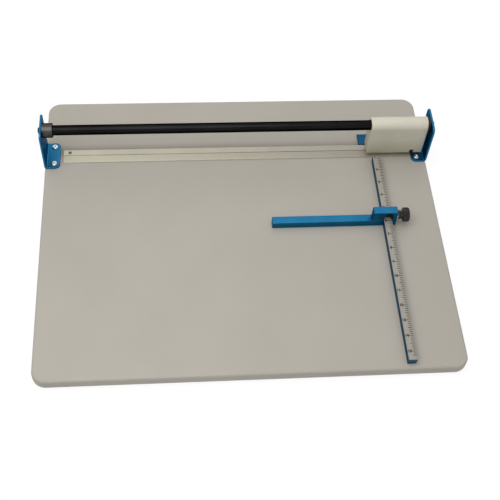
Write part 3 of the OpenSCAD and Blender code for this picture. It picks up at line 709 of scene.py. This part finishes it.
def rounded_slab(lo, hi, corner, edge, steps=8):
    """Level rings of a rounded rectangle: at the angle b of the edge's arc a ring lies in by
    edge (1 - cos b), and stands edge sin b above or below the centre of that arc."""
    b = np.radians(np.r_[np.linspace(-90, 0, steps + 1), np.linspace(0, 90, steps + 1)])
    inset = edge * (1 - np.cos(b))
    height = np.where(np.arange(len(b)) <= steps, lo[2] + edge, hi[2] - edge) + edge * np.sin(b)
    width, depth = (hi - lo)[:2]
    rings = [rounded_rectangle(width - 2 * i, depth - 2 * i, corner - i, 16) for i in inset]
    return stacked(np.stack(rings) + ((lo + hi) / 2)[:2], height), CAPS


def ruler_screw_places():
    """The three screws stand on the ruler's middle line, at its middle and evenly to both ends."""
    lo, hi = node_box("ruler_screws")
    head = (hi[0] - lo[0]) / 2
    return [((lo[0] + hi[0]) / 2, y) for y in np.linspace(lo[1] + head, hi[1] - head, 3)]


board_lo, board_hi = node_box("base_board")
board_holes = []
for x, y in ruler_screw_places():
    board_holes.append(rod(COUNTERBORE, COUNTERBORE_DEPTH + MM, "z", (x, y, board_lo[2] - MM)))
    board_holes.append(rod(RULER_SCREW_HOLE, 30 * MM, "z", (x, y, board_lo[2] - MM)))
add_piece("dressed_board", [rounded_slab(board_lo, board_hi, BOARD_CORNER, BOARD_EDGE)],
          "board_laminate", "base", ["base_board"], board_holes)

# %% [markdown]
# ## Feet
# A rubber foot is turned: a rounded rim, a dished recess for its screw, and a hole. The same profile
# serves for all four.

# %% Feet


def foot_profile(radius, height):
    """Rows from the top of the hole, out over the top, round the rim, under the foot and up the recess."""
    rim, hole, recess = 1.2 * MM, 2.2 * MM, 4.3 * MM
    rows = [(hole, height), (radius - rim, height)]
    rows += corner_arc(radius - rim, height - rim, rim, 90, 0)
    rows += corner_arc(radius - rim, rim, rim, 0, -90)
    rows += [(recess + 0.6 * MM, 0), (recess, 0.6 * MM), (recess, 2.3 * MM), (hole, 2.3 * MM)]
    return rows


for corner in ("front_left", "front_right", "rear_left", "rear_right"):
    node = "foot_" + corner
    foot = foot_profile(extent(node)[0] / 2, node_box(node)[1][2])
    add_piece("rubber_" + node, [spun(foot, "z", (*middle(node)[:2], 0), ending=LOOP)], "foot_rubber", "base", [node])

# %% [markdown]
# ## Screws
# The bright screws have low domed heads with a hexagon socket. A turned surface makes them too, because
# the socket is only a ring whose radius changes with the angle.

# %% Screws


def hexagon(across_flats, sides=48):
    """Radius of a hexagon at each angle: half its width over the cosine of the angle from the nearest flat."""
    angle = np.linspace(0, 2 * np.pi, sides, endpoint=False)
    from_flat = (angle + np.pi / 6) % (np.pi / 3) - np.pi / 6
    return across_flats / 2 / np.cos(from_flat)


def domed_screw(shank, length, head, height, socket):
    """Rows from the shank's tip up to the head, over its dome and down into the socket. The head's
    underside lies at height 0. The dome is a quarter of an ellipse from the rim to the socket's edge."""
    t = np.radians(np.linspace(0, 90, 8))
    rim, flat = 0.4 * height, 0.62 * head
    dome = list(zip(flat + (head - flat) * np.cos(t), rim + (height - rim) * np.sin(t)))
    tip = 0.3 * MM
    rows = [(0, -length), (shank - tip, -length), (shank, tip - length), (shank, 0)]
    rows += [(head - 0.15 * MM, 0), (head, 0.15 * MM)] + dome
    rows += [(hexagon(socket) + 0.12 * MM, height), (hexagon(socket), height - 0.12 * MM)]
    return rows + [(hexagon(socket), 0.35 * height), (0, 0.3 * height)]


def screws_at(places, axis, sign, sizes):
    """Several equal screws as one set of grids."""
    return [spun(domed_screw(*sizes), axis, place, sign) for place in places]


BRACKET_PLATE = 3 * MM
BRACKET_HEAD, BRACKET_SHANK, BRACKET_SOCKET = 4.6 * MM, 2.4 * MM, 3 * MM
screw_lo, screw_hi = node_box("bracket_screws")
head_z = deck_z + BRACKET_PLATE
bracket_screw_places = [(x, y, head_z) for x in (screw_lo[0] + BRACKET_HEAD, screw_hi[0] - BRACKET_HEAD)
                        for y in (screw_lo[1] + BRACKET_HEAD, screw_hi[1] - BRACKET_HEAD)]
bracket_screw_size = (BRACKET_SHANK, head_z - screw_lo[2], BRACKET_HEAD, screw_hi[2] - head_z, BRACKET_SOCKET)
add_piece("bright_bracket_screws", screws_at(bracket_screw_places, "z", 1, bracket_screw_size),
          "zinc_screws", "base", ["bracket_screws"])

# %% [markdown]
# ## Brackets
# A bracket is sheet, bent once: a foot on the board and an upright plate. A thin rounded section is
# carried along the sheet's middle line, across the foot, round the bend and up. Near both ends the
# section narrows on the arc of the sheet's round corners.

# %% Brackets
BEND_RADIUS = 2 * MM
BRACKET_CORNER = 8 * MM
SHEET_EDGE = 0.5 * MM
BRACKET_SCREW_HOLE, BOLT_HOLE, HOLE_LENGTH = 2.42 * MM, 3.05 * MM, 6 * MM


def sheet_path(foot, height, plate, bend):
    """The middle line in distances along it: foot, quarter bend, upright. Returns a function that gives, for
    an array of distances, the points and the directions across the sheet, in the plane of the bend."""
    centre, turn_radius = bend + plate, bend + plate / 2
    first, quarter = foot - centre, turn_radius * np.pi / 2
    total = first + quarter + height - centre

    def at(s):
        """The points and the directions across at the distances s."""
        turn = np.clip((s - first) / turn_radius, 0, np.pi / 2)
        out = np.minimum(s, first)
        up = np.maximum(s - first - quarter, 0)
        x = foot - out - turn_radius * np.sin(turn)
        z = centre - turn_radius * np.cos(turn) + up
        return np.stack([x, z], -1), np.stack([np.sin(turn), np.cos(turn)], -1)
    return at, total


def arc_drop(distance, radius):
    """How far an edge draws back near an end: radius less the height of its arc at that distance."""
    short = np.clip(radius - distance, 0, radius)
    return radius - np.sqrt(radius ** 2 - short ** 2)


def bent_plate(foot, height, depth):
    """Rings of a rounded rectangle, as wide as the sheet is deep at that distance and as thick as the sheet.
    Returns x from the outside of the bend, y from the middle and z from the board."""
    at, total = sheet_path(foot, height, BRACKET_PLATE, BEND_RADIUS)
    t = np.radians(np.linspace(0, 90, 13))
    near = np.r_[SHEET_EDGE * (1 - np.cos(t[::3])), BRACKET_CORNER * (1 - np.cos(t))]
    bend = foot - BEND_RADIUS - BRACKET_PLATE + (BEND_RADIUS + BRACKET_PLATE / 2) * t
    s = np.unique(np.round(np.r_[near, bend, total - near], 7))
    from_end = np.minimum(s, total - s)
    half_depth = depth / 2 - arc_drop(from_end, BRACKET_CORNER)
    half_thick = BRACKET_PLATE / 2 - arc_drop(from_end, SHEET_EDGE)
    quarter = (np.arange(4)[:, None] * np.pi / 2 + np.linspace(0, np.pi / 2, 5)).ravel()
    side_y, side_off = np.repeat([1, -1, -1, 1], 5), np.repeat([1, 1, -1, -1], 5)
    y = side_y * (half_depth[:, None] - SHEET_EDGE) + SHEET_EDGE * np.cos(quarter)
    off = side_off * (half_thick[:, None] - SHEET_EDGE) + SHEET_EDGE * np.sin(quarter)
    line, across = at(s)
    return np.stack([line[:, :1] + across[:, :1] * off, y, line[:, 1:] + across[:, 1:] * off], -1)


for side, mirror in (("left", 1), ("right", -1)):
    plate_lo, plate_hi = node_box(side + "_bracket")
    foot_w, plate_d, plate_h = plate_hi - plate_lo
    outside = plate_lo[0] if mirror > 0 else plate_hi[0]
    plate = bent_plate(foot_w, plate_h, plate_d) * (mirror, 1, 1)
    plate += (outside, (plate_lo[1] + plate_hi[1]) / 2, plate_lo[2])
    holes = [rod(BRACKET_SCREW_HOLE, HOLE_LENGTH, "z", (x, y, deck_z - MM))
             for x, y, z in bracket_screw_places if x * outside > 0]
    holes.append(rod(BOLT_HOLE, HOLE_LENGTH, "x", (outside - mirror * MM, shaft_y, shaft_z), mirror))
    add_piece(side + "_bent_bracket", [(plate, CAPS)], "blue_finish", "base", [side + "_bracket"], holes)

# %% [markdown]
# ## Shaft, bolts and collars
# The shaft is a black ground rod with a chamfer at each end, which meets the plates. A bolt through each
# plate screws into it.

# %% Shaft and bolts
BOLT_SHANK, BOLT_SOCKET = 3 * MM, 4 * MM
shaft_start = (node_box("guide_shaft")[0][0], shaft_y, shaft_z)
shaft_l = extent("guide_shaft")[0]
chamfer, bolt_bore, bore_depth = 0.5 * MM, 3.02 * MM, 14.5 * MM
shaft_rows = [(0, bore_depth), (bolt_bore, bore_depth), (bolt_bore, 0), (shaft_radius - chamfer, 0),
              (shaft_radius, chamfer)]
shaft_rows += [(r, shaft_l - z) for r, z in shaft_rows[::-1]]
add_piece("ground_shaft", [spun(shaft_rows, "x", shaft_start, sides=96)], "black_shaft", "base", ["guide_shaft"])

for side, sign in (("left", -1), ("right", 1)):
    bolt_lo, bolt_hi = node_box(side + "_shaft_bolt")
    plate_x = sign * board_hi[0]
    reach = (bolt_hi[0] - plate_x) if sign > 0 else (plate_x - bolt_lo[0])
    bolt_size = (BOLT_SHANK, (bolt_hi - bolt_lo)[0] - reach, (bolt_hi - bolt_lo)[2] / 2, reach, BOLT_SOCKET)
    add_piece(side + "_bolt", screws_at([(plate_x, shaft_y, shaft_z)], "x", sign, bolt_size),
              "black_fasteners", "base", [side + "_shaft_bolt"])

# %% [markdown]
# The collars are short turned rings, each held by a grub screw at the back. The left one shows its dark
# steel. The right one is given the bolts' black as painted shade, for the shaded gap between the block and
# the right plate.

# %% Collars


def ring_profile(inner, outer, length, edge):
    """Rows round the section of a ring: the bore, an end face, the outside with round edges, the other end."""
    lead_in = 0.2 * MM
    rows = [(inner, lead_in), (inner + lead_in, 0), (outer - edge, 0)]
    rows += corner_arc(outer - edge, edge, edge, -90, 0, 4) + corner_arc(outer - edge, length - edge, edge, 0, 90, 4)
    return rows + [(inner + lead_in, length), (inner, length - lead_in)]


# The right collar's black is painted shade for the dark gap between the block and the right plate.
for side, grub_radius, look in (("left", 2.52 * MM, "dark_steel"), ("right", 1.52 * MM, "black_fasteners")):
    node = side + "_collar"
    ring_l, ring_d = extent(node)[[0, 2]]
    ring = ring_profile(shaft_radius + 0.02 * MM, ring_d / 2, ring_l, 0.7 * MM)
    start = (node_box(node)[0][0], shaft_y, shaft_z)
    grub_hole = rod(grub_radius, ring_d, "y", (middle(node)[0], shaft_y, shaft_z))
    add_piece(side + "_turned_collar", [spun(ring, "x", start, sides=72, ending=LOOP)], "dark_steel", "base",
              [node], [grub_hole], finish_name=look)

# %% [markdown]
# ## Track and park strip
# The track is one drawn section: a flat at the back, a square groove, and a ramp that falls to a thin lip
# so that paper slides up on it. It is pushed along the shaft's direction. The strip behind it is a
# plain bar. Both are held by countersunk screws.

# %% Track and strip
GROOVE_HALF = 0.75 * MM
GROOVE_DEPTH = 1.2 * MM
TRACK_LIP = 1.2 * MM
REAR_BEVEL = 0.9 * MM
SMALL_SHANK, SMALL_HEAD, SMALL_HEAD_HEIGHT, SMALL_SOCKET = 1.6 * MM, 3 * MM, 1.7 * MM, 2 * MM


def countersunk_screw(shank, length, head, height, socket):
    """Rows up from the tip, along the shank, over the cone to the flat top and down into the socket. The
    top lies at height 0."""
    rows = [(0, -length), (shank - 0.3 * MM, -length), (shank, 0.3 * MM - length), (shank, -height)]
    rows += [(head - 0.05 * MM, -0.1 * MM), (head, -0.05 * MM), (head - 0.1 * MM, 0), (hexagon(socket), 0)]
    return rows + [(hexagon(socket), -0.6 * height), (0, -0.65 * height)]


def countersink(x, y, z):
    """The hole for such a screw, a little wider than it."""
    shank, head, depth = 1.62 * MM, 3.03 * MM, 20 * MM
    rows = [(0, -depth), (shank, -depth), (shank, -1.72 * MM), (head, -0.02 * MM), (head, MM), (0, MM)]
    return spun(rows, "z", (x, y, z), sides=HOLE_SIDES)


def end_screws(node):
    """The two places of a pair of screws that share one node: a head's radius in from its box's ends."""
    lo, hi = node_box(node)
    head = (hi[1] - lo[1]) / 2
    return [(x, (lo[1] + hi[1]) / 2, hi[2]) for x in (lo[0] + head, hi[0] - head)]


track_section = np.array([
    (track_hi[1], track_lo[2]), (track_hi[1], track_hi[2] - REAR_BEVEL), (track_hi[1] - REAR_BEVEL, track_hi[2]),
    (shaft_y + GROOVE_HALF, track_hi[2]),
    (shaft_y + GROOVE_HALF, track_hi[2] - GROOVE_DEPTH), (shaft_y - GROOVE_HALF, track_hi[2] - GROOVE_DEPTH),
    (shaft_y - GROOVE_HALF, track_hi[2]), (track_lo[1], track_lo[2] + TRACK_LIP), (track_lo[1], track_lo[2])])
add_piece("drawn_track", [pushed(track_section, "x", track_lo[0], track_hi[0])], "track_aluminium", "base",
          ["crease_track"], [countersink(*p) for p in end_screws("track_screws")], soften=CUT_EDGE)
strip_lo, strip_hi = node_box("park_strip")
# The strip takes the darker blue as painted shade, where the shaft and the block shade it.
add_piece("blue_park_strip", [soft_bar(strip_lo, strip_hi, "x", BAR_EDGE)], "blue_finish", "base", ["park_strip"],
          [countersink(*p) for p in end_screws("park_strip_screws")], finish_name="shaded_blue")
for node, look in (("track_screws", "aged_screws"), ("park_strip_screws", "zinc_screws")):
    size = (SMALL_SHANK, extent(node)[2], SMALL_HEAD, SMALL_HEAD_HEIGHT, SMALL_SOCKET)
    screws = [spun(countersunk_screw(*size), "z", place) for place in end_screws(node)]
    add_piece("small_" + node, screws, "zinc_screws", "base", [node], finish_name=look)

# %% [markdown]
# ## Ruler
# The ruler is a square blue bar with a printed tape stuck on its top. The tape's numbers count inches
# from a point just behind the groove, so paper under the wheel is measured straight from the crease.

# %% Ruler bar and tape
ruler_lo, ruler_hi = node_box("ruler_bar")
tape_lo, tape_hi = node_box("ruler_tape")
ruler_holes = [rod(RULER_SCREW_HOLE, 9 * MM, "z", (x, y, deck_z - MM)) for x, y in ruler_screw_places()]
# The bar takes the darker, greyer blue as painted shade for its shaded sides.
add_piece("blue_ruler", [soft_bar(ruler_lo, ruler_hi, "y", BAR_EDGE)], "blue_finish", "base", ["ruler_bar"],
          ruler_holes, finish_name="ruler_blue")
add_piece("measuring_tape", [soft_bar(tape_lo, tape_hi, "y", 0.1 * MM)], "printed_tape", "base", ["ruler_tape"])

# %% [markdown]
# The marks are thin printed bars, so they stay sharp from near and need no image. A line at each number
# reaches far across the tape, the half less far, and so on down to the eighths, which close up to a grey
# band when seen from afar. Eight divisions to an inch are a guess: they are too fine to be counted.

# %% Tape marks
INCH = 25.4 * MM
TAPE_ZERO = 144.0 * MM
PRINT_HEIGHT = 0.02 * MM
LINE_WIDTH = 1.1 * MM
DIVISIONS = 8
LAST_NUMBER, LINES_PAST_IT = 15, 3
LINE_SHARES = [0.62, 0.46, 0.38, 0.32]
EDGE_MARGIN = 0.25 * MM


def line_length(division):
    """Length of a division's line as a share of the tape's width, by its place in the inch."""
    steps = [division % (DIVISIONS // parts) == 0 for parts in (1, 2, 4)]
    return np.select(steps, LINE_SHARES[:3], LINE_SHARES[3])


def tape_lines():
    """Thin bars that start at the tape's right edge, one for each division on the tape."""
    division = np.arange(DIVISIONS * LAST_NUMBER + LINES_PAST_IT)
    y = TAPE_ZERO - division * INCH / DIVISIONS
    keep = (y > tape_lo[1] + LINE_WIDTH) & (y < tape_hi[1] - LINE_WIDTH)
    width = tape_hi[0] - tape_lo[0]
    low, high = tape_hi[2] - PRINT_HEIGHT, tape_hi[2] + PRINT_HEIGHT
    edge = tape_hi[0] - EDGE_MARGIN
    starts = edge - line_length(division[keep]) * width
    return [pushed(np.array([(low, start), (low, edge), (high, edge), (high, start)]), "y",
                   place - LINE_WIDTH / 2, place + LINE_WIDTH / 2) for place, start in zip(y[keep], starts)]


add_piece("tape_lines", tape_lines(), "printed_tape", "base", finish_name="tape_print")

# %% [markdown]
# The numbers are set in Blender's own plain letters, turned into meshes and laid left of their lines.

# %% Tape numbers
NUMBER_HEIGHT = 5.6 * MM
NUMBER_STROKE = 0.42 * MM
NUMBER_INSET = 3.1 * MM


def number_points(number):
    """A number as a thin mesh about the origin: its points and faces."""
    curve = bpy.data.curves.new("number", "FONT")
    curve.body, curve.size = str(number), NUMBER_HEIGHT
    curve.align_x, curve.align_y = "CENTER", "CENTER"
    curve.extrude, curve.offset, curve.resolution_u = PRINT_HEIGHT, NUMBER_STROKE, 4
    letter = add_object("number", curve)
    mesh = evaluated_mesh(letter)
    points = np.empty(len(mesh.vertices) * 3)
    mesh.vertices.foreach_get("co", points)
    faces = [list(face.vertices) for face in mesh.polygons]
    bpy.data.objects.remove(letter)
    bpy.data.meshes.remove(mesh)
    return points.reshape(-1, 3), faces


def add_numbers():
    """All the numbers as one piece that rides on the base."""
    points, faces, first = [], [], 0
    for number in range(1, LAST_NUMBER + 1):
        shape, sides = number_points(number)
        points.append(shape + (tape_lo[0] + NUMBER_INSET, TAPE_ZERO - number * INCH, tape_hi[2]))
        faces += [[first + corner for corner in side] for side in sides]
        first += len(shape)
    mesh = bpy.data.meshes.new("tape_numbers")
    mesh.from_pydata(np.concatenate(points).tolist(), [], faces)
    tidy(mesh)
    mesh.materials.append(FINISHES["tape_print"])
    numbers = add_object("tape_numbers", mesh)
    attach(numbers, "base")
    print("tape numbers 1 to", LAST_NUMBER, "with", len(mesh.polygons), "faces")


add_numbers()

# %% [markdown]
# ## Carriage
# The block is machined from a bar of off-white plastic: straight sides, a round top about the shaft and
# soft edges. Its surface is one closed loop, over the outside, in through one end and back along the
# bore. The wheel's slot and the pockets of the axle are cut.

# %% Carriage block
BLOCK_FOOT_RADIUS = 2 * MM
BLOCK_EDGE = 0.7 * MM
AXLE_HOLE, AXLE_HEAD_HOLE, AXLE_SINK = 2.05 * MM, 3.7 * MM, 1.6 * MM
SLOT_ROOM, POCKET_ROOM, POCKET_DEPTH = 1.5 * MM, 0.3 * MM, 5 * MM
bush_bore = extent("left_slide_bush")[2] / 2 + 0.05 * MM


def block_outline(inset):
    """Outline in Y and Z about the shaft: an arc over the top from side to side, and two small arcs at the
    bottom corners. The inset draws it in by making every radius less."""
    half = (block_hi - block_lo)[1] / 2 - inset
    foot = BLOCK_FOOT_RADIUS - inset
    foot_y, foot_z = half - foot, block_lo[2] + inset + foot - shaft_z
    top = np.linspace(0, np.pi, 49)
    left, right = np.linspace(np.pi, 1.5 * np.pi, 9), np.linspace(1.5 * np.pi, 2 * np.pi, 9)
    y = np.r_[half * np.cos(top), foot * np.cos(left) - foot_y, foot * np.cos(right) + foot_y]
    z = np.r_[half * np.sin(top), foot * np.sin(left) + foot_z, foot * np.sin(right) + foot_z]
    return np.stack([y, z], -1)


def block_surface():
    """Rings along X: outside with its ends drawn in on an arc, then the bore's rings in reverse. The bore's
    points keep the angles of the outline's points, so the end faces are plain strips."""
    t = np.radians(np.linspace(0, 90, 6))
    length = (block_hi - block_lo)[0]
    end_x, end_in = BLOCK_EDGE * (1 - np.cos(t)), BLOCK_EDGE * (1 - np.sin(t))
    outside = [block_outline(i) for i in np.r_[end_in, end_in[::-1]]]
    angle = np.arctan2(outside[0][:, 1], outside[0][:, 0])
    lip = 0.4 * MM
    bore = [r * np.stack([np.cos(angle), np.sin(angle)], -1) for r in (bush_bore + lip, bush_bore)]
    x = np.r_[end_x, length - end_x[::-1], length, length - lip, lip, 0]
    rings = outside + [bore[0], bore[1], bore[1], bore[0]]
    return lay(stacked(rings, x), "x", (block_lo[0], shaft_y, shaft_z))


def wheel_slot():
    """The slot's outline in Z and X: a half circle over the axle, and straight sides down past the block."""
    washer_lo, washer_hi = node_box("wheel_washers")
    radius, side = extent("crease_wheel")[0] / 2 + SLOT_ROOM, 0.02 * MM
    t = np.linspace(-np.pi / 2, np.pi / 2, 25)
    arc = np.stack([axle_z + radius * np.cos(t), axle_x + radius * np.sin(t)], -1)
    foot = block_lo[2] - MM
    outline = np.r_[[(foot, axle_x - radius)], arc, [(foot, axle_x + radius)]]
    return pushed(outline, "y", washer_lo[1] - side, washer_hi[1] + side)


front_y = block_lo[1]
nut_start = (axle_x, node_box("axle_nut")[0][1], axle_z)
nut_flats, nut_height = extent("axle_nut")[:2]
pocket_radius = hexagon(nut_flats + POCKET_ROOM)
block_holes = [
    wheel_slot(),
    rod(AXLE_HOLE, 40 * MM, "y", (axle_x, front_y - 5 * MM, axle_z)),
    rod(AXLE_HEAD_HOLE, AXLE_SINK + MM, "y", (axle_x, front_y - MM, axle_z)),
    spun([(0, 0), (pocket_radius, 0), (pocket_radius, POCKET_DEPTH), (0, POCKET_DEPTH)], "y", nut_start)]
add_piece("machined_block", [(block_surface(), LOOP)], "white_plastic", "carriage", ["carriage_block"],
          block_holes, soften=CUT_EDGE)

# %% [markdown]
# ## Wheel, axle and nut
# The wheel is turned steel: a broad rim with a narrow round ridge, which presses the paper into the
# groove.

# %% Wheel
RIDGE_HALF = 0.4 * MM


def wheel_profile(radius, bore, half_width):
    """Rows round the wheel's section: bore, side, rim, the ridge as a half circle, rim and side again."""
    rim, edge = radius - MM, 0.5 * MM
    half = [(bore, -half_width + 0.1 * MM), (bore + 0.1 * MM, -half_width), (0.55 * rim + 0.45 * bore, -half_width)]
    half += [(0.62 * rim + 0.38 * bore, -half_width + 0.35 * MM), (rim - 1.6 * MM, -half_width + 0.35 * MM)]
    half += [(rim - 1.2 * MM, -half_width), (rim - edge, -half_width), (rim, edge - half_width)]
    half += [(rim, -RIDGE_HALF - 0.6 * MM), (rim + 0.35 * MM, -RIDGE_HALF - 0.12 * MM)]
    half += corner_arc(radius - RIDGE_HALF, 0, RIDGE_HALF, -90, 0, 4)
    return half + [(r, -z) for r, z in half[::-1]]


bush_radius = extent("wheel_bush")[2] / 2
half_width, wheel_radius = extent("crease_wheel")[1:] / 2
wheel = wheel_profile(wheel_radius, bush_radius + 0.02 * MM, half_width)
add_piece("turned_wheel", [spun(wheel, "y", (axle_x, shaft_y, axle_z), sides=96, ending=LOOP)], "wheel_steel",
          "wheel", ["crease_wheel"])

# %% [markdown]
# The wheel's axle is a screw whose black head shows on the block's front, with a nut behind.

# %% Axle and nut
AXLE_HEAD_HEIGHT, AXLE_SOCKET = 2.6 * MM, 2.5 * MM
axle_length, axle_head = extent("wheel_axle")[1:]
axle_size = (2 * MM, axle_length - AXLE_HEAD_HEIGHT, axle_head / 2, AXLE_HEAD_HEIGHT, AXLE_SOCKET)
add_piece("axle_screw", screws_at([(axle_x, front_y + AXLE_SINK, axle_z)], "y", -1, axle_size),
          "black_fasteners", "carriage", ["wheel_axle"])


def nut_rows(flats, height, bore):
    """A hexagon whose corners are turned off on both faces: each ring's radius is the hexagon's or the
    cone's, whichever is less. The rows go round the section, so the bore is part of it."""
    corner = flats / 2 / math.cos(math.pi / 6)
    cone = [(corner - 0.45 * MM, 0), (corner - 0.2 * MM, 0.14 * MM), (corner, 0.28 * MM)]
    lead_in = 0.3 * MM
    half = [(bore, lead_in), (bore + lead_in, 0)] + [(np.minimum(hexagon(flats, 96), r), z) for r, z in cone]
    return half + [(r, height - z) for r, z in half[::-1]]


nut = nut_rows(nut_flats, nut_height, 2.02 * MM)
add_piece("hexagon_nut", [spun(nut, "y", nut_start, sides=96, ending=LOOP)], "zinc_screws", "carriage", ["axle_nut"])

# %% [markdown]
# ## Paper stop
# The stop is a blue bar across the paper's path, screwed to a slider block that straddles the ruler. The
# block is a flat outline pushed from front to rear: a tunnel with a round crown lets the ruler through.

# %% Stop bar and slider block
TUNNEL_CROWN = 30 * MM
SLIDER_CORNER, SLIDER_SOFT = 2 * MM, 0.45 * MM
STOP_SCREW_HOLE, STOP_SCREW_DEPTH = 2.75 * MM, 1.7 * MM
STOP_SCREW_INSET, STOP_SCREW_SPREAD = 4.4 * MM, 3 * MM
stop_lo, stop_hi = node_box("stop_bar")
slider_lo, slider_hi = node_box("slider_block")
tunnel_left = stop_hi[0]
tunnel_right = ruler_lo[0] + ruler_hi[0] - tunnel_left


def slider_outline():
    """Outline in Z and X, round the block: up the left side, over two round corners, down the leg, and back
    through the tunnel, whose crown is a half circle."""
    t = np.linspace(0, np.pi / 2, 7)
    left, right, top, corner = slider_lo[0], slider_hi[0], slider_hi[2], SLIDER_CORNER
    over_left = np.stack([top - corner + corner * np.sin(t), left + corner - corner * np.cos(t)], -1)
    over_right = np.stack([top - corner + corner * np.cos(t), right - corner + corner * np.sin(t)], -1)
    radius = (tunnel_right - tunnel_left) / 2
    u = np.linspace(0, np.pi, 25)
    crown = np.stack([deck_z + TUNNEL_CROWN - radius + radius * np.sin(u),
                      tunnel_left + radius + radius * np.cos(u)], -1)
    start = [(stop_hi[2], left)]
    leg = [(slider_lo[2], right), (slider_lo[2], tunnel_right)]
    return np.r_[start, over_left, over_right, leg, crown, [(stop_hi[2], tunnel_left)]]


stud_x = node_box("thumb_stud")[0][0]
stud_radius = extent("thumb_stud")[2] / 2
stud_hole = rod(stud_radius + 0.15 * MM, 60 * MM, "x", (stud_x - 0.3 * MM, stud_y, stud_z))
add_piece("blue_slider", [pushed(slider_outline(), "y", slider_lo[1], slider_hi[1])], "blue_finish", "paper_stop",
          ["slider_block"], [stud_hole], soften=SLIDER_SOFT)
stop_screws = [(slider_lo[0] + STOP_SCREW_INSET, stud_y + y) for y in (-STOP_SCREW_SPREAD, STOP_SCREW_SPREAD)]
add_piece("blue_stop_bar", [soft_bar(stop_lo, stop_hi, "x", BAR_EDGE)], "blue_finish", "paper_stop", ["stop_bar"],
          [rod(STOP_SCREW_HOLE, STOP_SCREW_DEPTH + MM, "z", (x, y, stop_lo[2] - MM)) for x, y in stop_screws])

# %% [markdown]
# ## Thumb screw
# A black threaded stud crosses the tunnel and carries a fluted black knob. The thread is a helix: the
# radius rises and falls with the distance along the stud less the turn, so one formula gives crest, root
# and lead. A washer stands between the slider and the knob.

# %% Stud and washer
THREAD_PITCH, THREAD_DEPTH, THREAD_CHAMFER = 1 * MM, 0.5 * MM, 0.6 * MM


def thread(radius, length):
    """Radius at distance z and angle a: the crest, less the depth times a rounded wave of z over the pitch
    less a over a full turn. Both ends fade to a chamfer."""
    z = np.arange(0, length + 1e-9, THREAD_PITCH / 8)
    angle = np.linspace(0, 2 * np.pi, 32, endpoint=False)
    phase = z[:, None] / THREAD_PITCH - angle / (2 * np.pi)
    wave = 0.5 - 0.5 * np.cos(2 * np.pi * phase)
    crest = radius - np.clip(THREAD_CHAMFER - np.minimum(z, z[-1] - z), 0, None)[:, None]
    r = np.minimum(crest, radius - THREAD_DEPTH * wave)
    rings = np.stack([r * np.cos(angle), r * np.sin(angle), z[:, None] + 0 * r], -1)
    ends = rings[[0, -1]] * (0, 0, 1)
    return np.concatenate([ends[:1], rings, ends[1:]])


stud = lay(thread(stud_radius, extent("thumb_stud")[0]), "x", (stud_x, stud_y, stud_z))
add_piece("threaded_stud", [(stud, POLES)], "black_fasteners", "clamp_stud", ["thumb_stud"])
disc_width, _, disc_height = extent("knob_washer")
disc = ring_profile(stud_radius + 0.2 * MM, disc_height / 2, disc_width, 0.25 * MM)
disc_start = (node_box("knob_washer")[0][0], stud_y, stud_z)
add_piece("plastic_washer", [spun(disc, "x", disc_start, sides=64, ending=LOOP)], "white_plastic", "paper_stop",
          ["knob_washer"])

# %% [markdown]
# The knob is moulded: a collar that bears on the washer, a waist, and a head with sixteen flutes. Each
# ring's radius loses a smooth bite at every flute, and the bite fades where the head's edges turn in.

# %% Knob
KNOB_FLUTES, FLUTE_DEPTH = 16, 1.25 * MM
KNOB_COLLAR, KNOB_WAIST, KNOB_NECK = 7 * MM, 6.625 * MM, 8 * MM
KNOB_BEVEL, KNOB_SOFT, KNOB_DEPTH = 2.6 * MM, 1.5 * MM, 13.3 * MM
knob_length, knob_width = extent("thumb_knob")[:2]
knob_bore_radius = stud_radius + 0.05 * MM


def knob_rows(sides):
    """Rows from the collar's face to the head's crown. A row holds radius, height and how deep the flutes
    bite there. The bite over the angle is the sixth power of a half wave, which leaves broad lands."""
    angle = np.linspace(0, 2 * np.pi, sides, endpoint=False)
    bite = np.abs(np.cos(angle * KNOB_FLUTES / 2)) ** 6 * FLUTE_DEPTH
    collar, waist, r, round_edge = KNOB_COLLAR, KNOB_WAIST, knob_width / 2, 0.4 * MM
    plain = [(knob_bore_radius, 0), (collar - round_edge, 0)]
    plain += corner_arc(collar - round_edge, round_edge, round_edge, -90, 0, 3)
    plain += [(collar, 0.3 * KNOB_NECK), (collar - 0.3 * MM, 0.36 * KNOB_NECK), (waist, 0.44 * KNOB_NECK)]
    plain += [(waist, 0.78 * KNOB_NECK), (waist + 0.5 * MM, 0.86 * KNOB_NECK), (waist + 2 * MM, 0.94 * KNOB_NECK)]
    start, stop, soft = KNOB_NECK, knob_length, KNOB_SOFT
    head = [(r - 2 * MM, start, 0.4)] + [(a, z, 1) for a, z in corner_arc(r - soft, start + soft, soft, -70, 0, 5)]
    head += [(a, z, 1) for a, z in corner_arc(r - KNOB_BEVEL, stop - KNOB_BEVEL, KNOB_BEVEL, 0, 70, 6)]
    head += [(r - KNOB_BEVEL - 0.4 * MM, stop, 0.3), (r - KNOB_BEVEL - 1.4 * MM, stop, 0)]
    head += [(r - KNOB_BEVEL - 2 * MM, stop - 0.35 * MM, 0), (0, stop - 0.35 * MM, 0)]
    return plain + [(a - bite * share, z) for a, z, share in head]


knob_sides = 16 * KNOB_FLUTES
knob = [(0, KNOB_DEPTH), (knob_bore_radius, KNOB_DEPTH)] + knob_rows(knob_sides)
knob_start = (node_box("thumb_knob")[0][0], stud_y, stud_z)
add_piece("fluted_knob", [spun(knob, "x", knob_start, sides=knob_sides)], "black_plastic", "clamp_knob",
          ["thumb_knob"])
